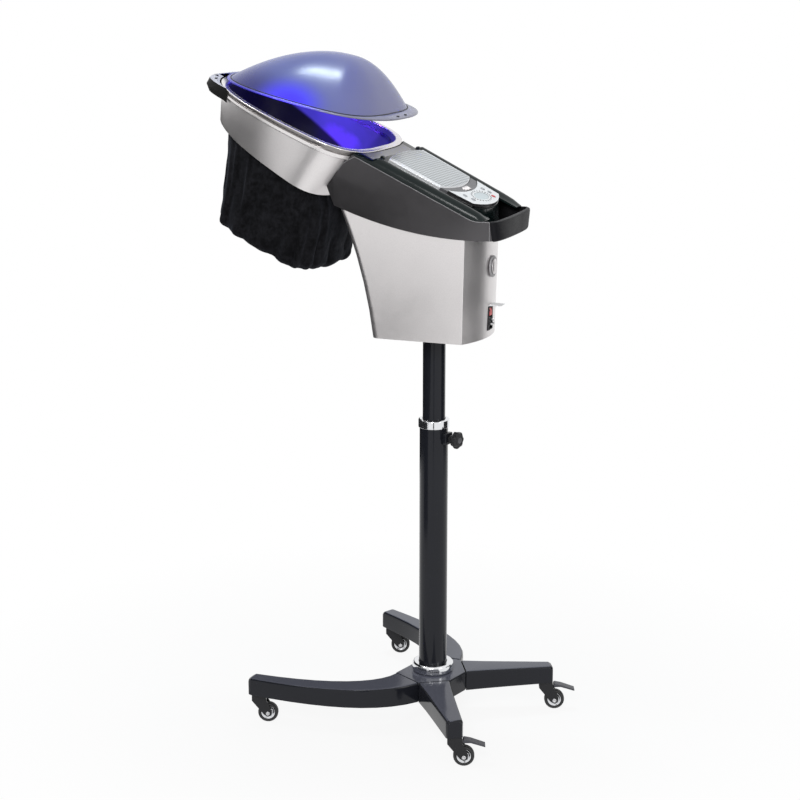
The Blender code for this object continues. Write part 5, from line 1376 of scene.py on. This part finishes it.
class STEAMER_OT_fit_hardware(bpy.types.Operator):
    """Fit axle bolts, screws, pale beads of painted highlight, contacts and the marks of the control panel
    """

    bl_idname = "steamer.fit_hardware"
    bl_label = "Fit hardware"

    def execute(self, context):
        sizes = context.scene.steamer_sizes
        self.fit_stand(sizes)
        self.fit_panel(sizes)
        self.fit_deck()
        self.fit_hood(sizes)
        self.fit_housing(sizes)
        return {"FINISHED"}

    def fit_stand(self, sizes):
        """Bolt heads on both sides of each caster fork, and the cap in the clamp knob."""
        spots = []
        for corner in CORNERS:
            joint = JOINTS[f"wheel_spin_{corner}"]
            middle, axis = Vector(joint["pos_m"]), Vector(joint["axis"])
            for side, way in (("near", -axis), ("far", axis)):
                place = middle + way * FORK_FACE
                spots.append((f"axle_bolt_{corner}_{side}", f"caster_{corner}", place, aimed(way)))
        set_down(screw_head(sizes.bolt_radius, BOLT_HEIGHT), "steel", spots)
        knob = JOINTS["clamp_knob_turn"]
        axis = Vector(knob["axis"])
        place = Vector(knob["pos_m"]) + axis * KNOB_FACE
        set_down(disc(*KNOB_CAP), "bezel", [("knob_cap", "knob", place, aimed(axis))])

    def fit_panel(self, sizes):
        """Dots and lamps round the display, and ribs on the latch."""
        level = deck_level("control_panel") - SUNK
        middle = node_middle("display_window")
        dots = []
        for k in range(DOT_COUNT):
            angle = 2.0 * math.pi * (k + 0.5) / DOT_COUNT
            place = on_deck(middle, DOT_RING[0] * math.cos(angle), DOT_RING[1] * math.sin(angle), level)
            dots.append((f"panel_dot_{k + 1}", "head", place, aimed(DECK_UP)))
        set_down(disc(sizes.dot_radius, DOT_HEIGHT), "matte", dots)
        lamps = []
        for k, (ahead, side) in enumerate(LAMP_PLACES):
            place = on_deck(middle, ahead, side, level)
            lamps.append((f"panel_lamp_{k + 1}", "head", place, laid(DECK_SIDE, DECK_UP)))
        set_down(bar(*LAMP_SIZE), "red", lamps)
        level = deck_level("latch_button") - SUNK
        middle = node_middle("latch_button")
        ribs = []
        for k in range(RIB_COUNT):
            place = on_deck(middle, 0.0, RIB_STEP * (k - (RIB_COUNT - 1) / 2), level)
            ribs.append((f"latch_rib_{k + 1}", "latch", place, laid(DECK_AHEAD, DECK_UP)))
        set_down(bar(*RIB_SIZE), "silver", ribs)

    def fit_deck(self):
        """Hinge bosses of the tank cover, and pale beads along the side panels' upper edges as painted
        highlight.
        """
        hinge = Vector(JOINTS["tank_cover_hinge"]["pos_m"])
        bosses = []
        for side, way in SIDES:
            place = hinge + DECK_SIDE * (way * BOSS_SIDE)
            bosses.append((f"cover_boss_{side}", "head", place, aimed(DECK_SIDE * way)))
            node = f"side_panel_{side}"
            low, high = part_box(node)
            start = low.x + HIGHLIGHT_BEAD_START
            span = high.x - HIGHLIGHT_BEAD_END - start
            # Painted highlight: a pale bead along the panel's upper edge and down its rear end stands in for
            # the edge's highlight.
            line = []
            for k in range(HIGHLIGHT_BEAD_STEPS + 1):
                place = panel_top(node, start + span * k / HIGHLIGHT_BEAD_STEPS, way)
                line.append(place - WORLD_UP * HIGHLIGHT_BEAD_DROP)
            line.append(Vector((line[-1].x, line[-1].y, low.z + HIGHLIGHT_BEAD_FOOT)))
            bead(f"panel_trim_{side}", line, HIGHLIGHT_BEAD_RADIUS, "head", "trim")
        set_down(screw_head(*BOSS_SIZE), "deck", bosses)

    def fit_hood(self, sizes):
        """Screws on the front lip and studs in the visor's flange."""
        screws = []
        for side, way in SIDES:
            for k, (x, y) in enumerate(LIP_SCREWS):
                place = surface("front_lip", (STAND.x + x, STAND.y + way * y, 1.5), -WORLD_UP)
                screws.append((f"lip_screw_{side}_{k + 1}", "head", place, aimed(WORLD_UP)))
        set_down(screw_head(sizes.screw_radius, LIP_SCREW_HEIGHT), "matte", screws)
        ring = visor_ring(grown(FLANGE, -STUD_INSET), DOME_BASE, FLANGE_BLUNT)
        studs = []
        for k, index in enumerate(STUD_POINTS):
            studs.append((f"flange_stud_{k + 1}", "visor", ring[index], aimed(VISOR_UP)))
        set_down(disc(*STUD_SIZE), "matte", studs)

    def fit_housing(self, sizes):
        """Disc in the rear cap, contacts in the inlet and screws under the bottom plate."""
        place = node_middle("rear_cap")
        place.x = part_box("rear_cap")[1].x
        cap = ("cap_disc", "head", place, aimed(REARWARD))
        set_down(disc(*CAP_DISC), "silver", [cap])
        low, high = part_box("power_inlet")
        contacts = []
        for k, (y, z) in enumerate(CONTACTS):
            place = surface("power_inlet", (high.x + 0.05, STAND.y + y, low.z + z), -REARWARD)
            contacts.append((f"inlet_contact_{k + 1}", "head", place, laid(WORLD_UP, REARWARD)))
        set_down(bar(*CONTACT_SIZE), "steel", contacts)
        screws = []
        for k, (x, y) in enumerate(PLATE_SCREWS):
            place = surface("bottom_plate", (x, STAND.y + y, 0.7), WORLD_UP)
            screws.append((f"plate_screw_{k + 1}", "head", place, aimed(-WORLD_UP)))
        set_down(screw_head(sizes.screw_radius, PLATE_SCREW_HEIGHT), "steel", screws)


# Curtain


# Rows from the tucked top to the hem: front x and z, rear x and z, half width, rear share, fold depth
CURTAIN_ROWS = (
    (-0.4280, 1.2540, -0.1919, 1.1139, 0.1480, 0.287, 0.0),
    (-0.4200, 1.2482, -0.2002, 1.1056, 0.1440, 0.285, 0.0005),
    (-0.4190, 1.1950, -0.1890, 1.0800, 0.1440, 0.320, 0.0012),
    (-0.4350, 1.1220, -0.1960, 1.0280, 0.1465, 0.320, 0.0022),
    (-0.4465, 1.0660, -0.2095, 0.9880, 0.1460, 0.320, 0.0030),
    (-0.4430, 1.0545, -0.2165, 0.9650, 0.1395, 0.320, 0.0032),
    (-0.4270, 1.0480, -0.2350, 0.9540, 0.1230, 0.320, 0.0022),
)
CURTAIN_AROUND = 216
CURTAIN_DOWN = 42
TUCKED_ROWS = 6
HEM_ROWS = 2
HEM_SIDES = 10
HEM_PUCKERS = 54
HEM_PUCKER_DEPTH = 0.16
# Dents in the pile: size and height
DENTS = ((0.055, 0.0022), (0.024, 0.0013), (0.011, 0.0006))
CLOTH_FRAMES = 24
CLOTH_REACH = 0.006
CLOTH_SETTINGS = {
    "quality": 6,
    "mass": 0.25,
    "tension_stiffness": 12.0,
    "compression_stiffness": 12.0,
    "shear_stiffness": 6.0,
    "bending_stiffness": 0.35,
    "vertex_group_mass": "held",
    "shrink_min": -0.03,
    "shrink_max": -0.03,
}


def row_mix(share):
    """Values of the curtain's row at a share of the drop, on a smooth curve through the rows."""
    last = len(CURTAIN_ROWS) - 1
    place = share * last
    k = min(int(place), last - 1)
    t = place - k
    h1, h2 = 2 * t**3 - 3 * t**2 + 1, t**3 - 2 * t**2 + t
    near = [CURTAIN_ROWS[min(max(index, 0), last)] for index in range(k - 1, k + 3)]
    values = []
    for p0, p1, p2, p3 in zip(*near):
        slope = 0.5 * (p2 - p0), 0.5 * (p3 - p1)
        values.append(h1 * p1 + h2 * slope[0] + (1 - h1) * p2 + (t**3 - t**2) * slope[1])
    return values


def curtain_row(down, folds):
    """Points of the cloth round the hood at a share of the drop."""
    front_x, front_z, rear_x, rear_z, half, share, fold = row_mix(down)
    front, rear = Vector((front_x, 0.0, front_z)), Vector((rear_x, 0.0, rear_z))
    span = rear - front
    middle = (front + rear) / 2
    row = []
    for k in range(CURTAIN_AROUND):
        angle = 2.0 * math.pi * k / CURTAIN_AROUND
        u, v = egg(angle, HOOD_BLUNT)
        u *= share if u > 0 else 1.0 - share
        point = rear + span * (u - share) + DECK_SIDE * (half * v)
        wave = math.cos(folds * angle) + 0.4 * math.sin(5.0 * angle + 0.8)
        wave += 0.35 * math.sin(31.0 * angle + 3.0 * down)
        row.append(point + (point - middle).normalized() * (fold * wave) + STAND)
    return row


def woven(name, rows, around_rows=False):
    """Mesh of quads through rows of points that each close on themselves, and over the ends if asked."""
    count, around = len(rows), len(rows[0])
    points = [tuple(point) for row in rows for point in row]
    faces = []
    for j in range(count if around_rows else count - 1):
        for k in range(around):
            low, high = j * around, (j + 1) % count * around
            n = (k + 1) % around
            faces.append((low + k, low + n, high + n, high + k))
    return meshed(name, points, faces)


def crush(piece):
    """Press shallow dents of several sizes into the pile, none at the tucked top."""
    piece.data.update()
    shifts = []
    for index, vertex in enumerate(piece.data.vertices):
        row = index // CURTAIN_AROUND
        share = min(1.0, max(0.0, (row - TUCKED_ROWS) / 6.0))
        depth = sum(height * mathutils.noise.noise(vertex.co / size) for size, height in DENTS)
        shifts.append(vertex.normal * (depth * share))
    for vertex, shift in zip(piece.data.vertices, shifts):
        vertex.co += shift
    piece.data.update()


def settle_cloth(piece):
    """Let the cloth sag and crumple between its tucked top and its elastic hem."""
    held = piece.vertex_groups.new(name="held")
    total = len(piece.data.vertices)
    top = range(TUCKED_ROWS * CURTAIN_AROUND)
    hem = range(total - HEM_ROWS * CURTAIN_AROUND, total)
    held.add([*top, *hem], 1.0, "REPLACE")
    cloth = piece.modifiers.new("cloth", "CLOTH")
    for key, value in CLOTH_SETTINGS.items():
        setattr(cloth.settings, key, value)
    cloth.settings.effector_weights.gravity = 0.5
    cloth.collision_settings.use_collision = False
    cloth.point_cache.frame_start = 1
    cloth.point_cache.frame_end = CLOTH_FRAMES
    scene = bpy.context.scene
    for step in range(1, CLOTH_FRAMES + 1):
        scene.frame_set(step)
    graph = bpy.context.evaluated_depsgraph_get()
    settled = [vertex.co.copy() for vertex in piece.evaluated_get(graph).data.vertices]
    piece.modifiers.remove(cloth)
    scene.frame_set(1)
    for vertex, place in zip(piece.data.vertices, settled):
        shift = place - vertex.co
        if shift.length > CLOTH_REACH:
            shift *= CLOTH_REACH / shift.length
        vertex.co += shift
    piece.data.update()


def hem_tube(name, line, radius):
    """Elastic casing: a puckered tube along the lower edge of the cloth."""
    count = len(line)
    middle = sum(line, Vector()) / count
    rings = []
    for k, place in enumerate(line):
        ahead = (line[(k + 1) % count] - line[k - 1]).normalized()
        out = place - middle
        out = (out - ahead * out.dot(ahead)).normalized()
        up = ahead.cross(out)
        swell = 1.0 + HEM_PUCKER_DEPTH * math.sin(k * 2.0 * math.pi * HEM_PUCKERS / count)
        ring = []
        for s in range(HEM_SIDES):
            angle = 2.0 * math.pi * s / HEM_SIDES
            ring.append(place + (out * math.cos(angle) + up * math.sin(angle)) * (radius * swell))
        rings.append(ring)
    piece = woven(name, rings, around_rows=True)
    only(piece)
    bpy.ops.object.mode_set(mode="EDIT")
    face_out()
    bpy.ops.object.shade_smooth()
    return piece


class STEAMER_OT_hang_curtain(bpy.types.Operator):
    """Hang the velvet curtain under the hood, gathered at an elastic hem"""

    bl_idname = "steamer.hang_curtain"
    bl_label = "Hang curtain"

    def execute(self, context):
        sizes = context.scene.steamer_sizes
        rows = [curtain_row(j / CURTAIN_DOWN, sizes.folds) for j in range(CURTAIN_DOWN + 1)]
        cloth = woven("curtain_cloth", rows)
        settle_cloth(cloth)
        crush(cloth)
        hem_line = [vertex.co.copy() for vertex in list(cloth.data.vertices)[-CURTAIN_AROUND:]]
        skin = cloth.modifiers.new("thickness", "SOLIDIFY")
        skin.thickness = sizes.cloth_thickness
        skin.offset = -1.0
        apply_modifier(cloth, skin)
        smooth = cloth.modifiers.new("smooth", "SUBSURF")
        smooth.levels = 1
        smooth.render_levels = 1
        apply_modifier(cloth, smooth)
        bpy.ops.object.shade_smooth()
        settle(cloth, "head", "velvet")
        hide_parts("curtain")
        hem = hem_tube("curtain_hem", hem_line, sizes.hem_radius)
        settle(hem, "head", "velvet")
        return {"FINISHED"}


class STEAMER_OT_paint_nodes(bpy.types.Operator):
    """Give every CAD node its finish"""

    bl_idname = "steamer.paint_nodes"
    bl_label = "Paint CAD nodes"

    def execute(self, context):
        make_finishes(context.scene.steamer_colours)
        painted = set()
        for finish, names in node_finishes().items():
            for name in names:
                slots = NODES[name].data.materials
                slots.clear()
                slots.append(FINISHES[finish])
                painted.add(name)
        bare = sorted(set(NODES) - painted)
        if bare:
            raise RuntimeError(f"no finish for {bare}")
        return {"FINISHED"}


# Stage


CAMERA_PLACE = (1.2723, -3.3101, 1.5341)
CAMERA_WAY = (-0.34668, 0.90742, -0.23750)
STAGE_MIDDLE = (0.0, 0.0, 0.85)
GLOW_PLACE = (-0.300, -0.03, 1.285)
GLOW_TARGET = (-0.17, 0.13, 1.22)


def point_along(piece, place, way):
    """Put a lamp or camera at a place and point it along a way."""
    piece.location = place
    piece.rotation_euler = Vector(way).to_track_quat("-Z", "Y").to_euler()


def add_lamp(name, place, target, size, power, colour=(1.0, 1.0, 1.0)):
    """Rectangular area lamp turned to a target."""
    data = bpy.data.lights.new(name, "AREA")
    data.shape = "RECTANGLE"
    data.size, data.size_y = size
    data.energy = power
    data.color = colour
    lamp = linked(name, data)
    point_along(lamp, place, Vector(target) - Vector(place))
    return lamp


def card_finish():
    """Dark felt of the reflection cards."""
    material, tree, shader = new_finish("dark_card", roughness=0.9)
    weave = noise(tree, object_place(tree), 6.0, 2.0)
    wire(tree, shader, base_color=two_tone(tree, weave, (0.010, 0.010, 0.011), (0.020, 0.020, 0.022)))
    return material


def hide_card(card, finish):
    """Finish of a card, and no part in the picture but its reflection."""
    card.data.materials.append(finish)
    card.visible_camera = False
    card.visible_diffuse = False
    card.visible_shadow = False
    card.visible_transmission = False


def add_card(name, place, target, size, finish, turn=0.0):
    """Dark card beside the object, turned in its plane by some degrees, seen only in reflections."""
    deselect()
    way = aimed(Vector(target) - Vector(place))
    bpy.ops.mesh.primitive_plane_add(size=1.0, location=place, rotation=way)
    card = started(name)
    card.rotation_euler.rotate_axis("Z", math.radians(turn))
    card.scale = (size[0], size[1], 1.0)
    bpy.ops.object.transform_apply(location=True, rotation=True, scale=True)
    hide_card(card, finish)


def add_screen(name, centre, radius, height, turns, finish):
    """Dark curved screen between two compass turns round a centre, seen only in reflections."""
    deselect()
    bpy.ops.mesh.primitive_cylinder_add(
        vertices=72, radius=radius, depth=height, end_fill_type="NOTHING", location=centre
    )
    screen = started(name)
    bpy.ops.object.mode_set(mode="EDIT")
    bpy.ops.mesh.select_mode(type="FACE")

    def outside(face):
        place = face.calc_center_median()
        return not turns[0] < math.degrees(math.atan2(place.y, place.x)) % 360.0 < turns[1]

    pick_faces(screen, outside)
    bpy.ops.mesh.delete(type="FACE")
    bpy.ops.object.mode_set(mode="OBJECT")
    bpy.ops.object.transform_apply(location=True, rotation=True, scale=True)
    hide_card(screen, finish)


def light_hood(power):
    """Blue lamp inside the hood that throws the strip's light on its rear wall."""
    data = bpy.data.lights.new("glow", "SPOT")
    data.energy = power
    data.color = (0.13, 0.05, 1.0)
    data.shadow_soft_size = 0.012
    data.spot_size = math.radians(90.0)
    data.spot_blend = 0.3
    place = Vector(GLOW_PLACE)
    point_along(linked("glow", data), place + STAND, Vector(GLOW_TARGET) - place)


def seen_rays(tree):
    """One for rays that show the background: from the camera, in gloss and through glass."""
    path = tree.nodes.new("ShaderNodeLightPath")
    total = maths(tree, "ADD", path.outputs["Is Camera Ray"], path.outputs["Is Glossy Ray"])
    total = maths(tree, "ADD", total, path.outputs["Is Transmission Ray"])
    return maths(tree, "MINIMUM", total, 1.0)


def floor_finish():
    """White floor that keeps a faint shadow near the object and fades into the background."""
    material = bpy.data.materials.new("floor")
    material.use_nodes = True
    tree = material.node_tree
    tree.nodes.remove(tree.nodes["Principled BSDF"])
    matte = tree.nodes.new("ShaderNodeBsdfDiffuse")
    matte.inputs["Color"].default_value = (0.86, 0.86, 0.86, 1.0)
    white = tree.nodes.new("ShaderNodeEmission")
    white.inputs["Color"].default_value = (1.0, 1.0, 1.0, 1.0)
    fade = ramp(tree, vector_maths(tree, "LENGTH", object_place(tree)), (0.35, 1.1), (0.90, 1.0))
    mix = tree.nodes.new("ShaderNodeMixShader")
    tree.links.new(maths(tree, "MULTIPLY", fade, seen_rays(tree)), mix.inputs["Fac"])
    tree.links.new(matte.outputs["BSDF"], mix.inputs[1])
    tree.links.new(white.outputs["Emission"], mix.inputs[2])
    tree.links.new(mix.outputs["Shader"], tree.nodes["Material Output"].inputs["Surface"])
    return material


class STEAMER_OT_set_stage(bpy.types.Operator):
    """Pale floor, soft studio lamps, white surroundings and the camera"""

    bl_idname = "steamer.set_stage"
    bl_label = "Set stage"

    def execute(self, context):
        plan = context.scene.steamer_stage
        context.scene.view_settings.view_transform = "Standard"
        self.set_surroundings(context.scene, plan)
        self.set_lamps(plan)
        self.set_cards()
        self.set_camera(context.scene, plan)
        return {"FINISHED"}

    def set_surroundings(self, scene, plan):
        """White background that lights the object less than it shows, and the floor."""
        scene.world = bpy.data.worlds.new("studio")
        scene.world.use_nodes = True
        tree = scene.world.node_tree
        ground = tree.nodes["Background"]
        ground.inputs["Color"].default_value = (1.0, 1.0, 1.0, 1.0)
        level = maths(tree, "MULTIPLY_ADD", seen_rays(tree), 1.0 - plan.sky_level, plan.sky_level)
        tree.links.new(level, ground.inputs["Strength"])
        deselect()
        bpy.ops.mesh.primitive_circle_add(
            vertices=96, radius=plan.floor_radius, fill_type="NGON", location=(0.0, 0.0, -0.0002)
        )
        floor = started("floor")
        floor.data.materials.append(floor_finish())

    def set_lamps(self, plan):
        """Four soft lamps round the object and one inside the hood."""
        add_lamp("key", (0.7, -2.8, 2.2), STAGE_MIDDLE, (0.9, 0.9), plan.key_power)
        add_lamp("fill", (2.9, -1.4, 1.5), STAGE_MIDDLE, (0.7, 1.6), plan.fill_power)
        cool = (0.80, 0.93, 1.0)
        top = add_lamp("top", (-0.32, 0.42, 3.2), STAGE_MIDDLE, (0.8, 0.26), plan.top_power, cool)
        top.rotation_euler.rotate_axis("Z", math.radians(-30.0))
        add_lamp("edge", (-1.12, -0.80, 2.95), STAGE_MIDDLE, (0.35, 0.35), plan.edge_power)
        light_hood(plan.glow_power)

    def set_cards(self):
        """Dark cards and a curved screen that shape the reflections."""
        felt = card_finish()
        add_screen("screen_hood", (-0.16, -0.05, 0.785), 0.62, 0.93, (95.0, 236.0), felt)
        add_card("card_low", (-0.64, -0.76, 0.39), (0.0, -0.17, 1.00), (0.62, 0.62), felt)
        add_card("card_side", (-0.39, -1.15, 0.55), (0.05, -0.15, 0.82), (0.33, 0.33), felt, 45.0)
        add_card("card_front", (0.75, -2.1, 0.25), (0.1, 0.0, 0.25), (0.28, 1.0), felt)
        add_card("card_rear", (1.9, 1.0, 0.65), STAGE_MIDDLE, (1.7, 1.5), felt)

    def set_camera(self, scene, plan):
        """Camera at the photograph's place."""
        data = bpy.data.cameras.new("camera")
        data.lens = plan.lens
        data.sensor_width = 36.0
        scene.camera = linked("camera", data)
        point_along(scene.camera, CAMERA_PLACE, CAMERA_WAY)


class STEAMER_PT_panel(bpy.types.Panel):
    """Lists the steps that dress the steamer"""

    bl_label = "Hair steamer"
    bl_idname = "STEAMER_PT_panel"
    bl_space_type = "VIEW_3D"
    bl_region_type = "UI"
    bl_category = "Steamer"

    def draw(self, context):
        scene = context.scene
        for settings in (scene.steamer_colours, scene.steamer_sizes, scene.steamer_stage):
            box = self.layout.box()
            for name in settings.__annotations__:
                box.prop(settings, name)
        for operator in OPERATORS:
            self.layout.operator(operator.bl_idname)


GROUP_CLASSES = (SteamerColours, SteamerSizes, SteamerStage)
OPERATORS = (
    STEAMER_OT_set_stage,
    STEAMER_OT_paint_nodes,
    STEAMER_OT_soften_nodes,
    STEAMER_OT_mould_rim,
    STEAMER_OT_blow_visor,
    STEAMER_OT_fit_hardware,
    STEAMER_OT_hang_curtain,
)


def register():
    for item in GROUP_CLASSES + OPERATORS + (STEAMER_PT_panel,):
        bpy.utils.register_class(item)
    bpy.types.Scene.steamer_colours = bpy.props.PointerProperty(type=SteamerColours)
    bpy.types.Scene.steamer_sizes = bpy.props.PointerProperty(type=SteamerSizes)
    bpy.types.Scene.steamer_stage = bpy.props.PointerProperty(type=SteamerStage)


def unregister():
    del bpy.types.Scene.steamer_stage
    del bpy.types.Scene.steamer_sizes
    del bpy.types.Scene.steamer_colours
    for item in reversed(GROUP_CLASSES + OPERATORS + (STEAMER_PT_panel,)):
        bpy.utils.unregister_class(item)


def main():
    register()
    bpy.ops.steamer.set_stage()
    bpy.ops.steamer.paint_nodes()
    bpy.ops.steamer.soften_nodes()
    bpy.ops.steamer.mould_rim()
    bpy.ops.steamer.blow_visor()
    bpy.ops.steamer.fit_hardware()
    bpy.ops.steamer.hang_curtain()


if __name__ == "__main__":
    main()
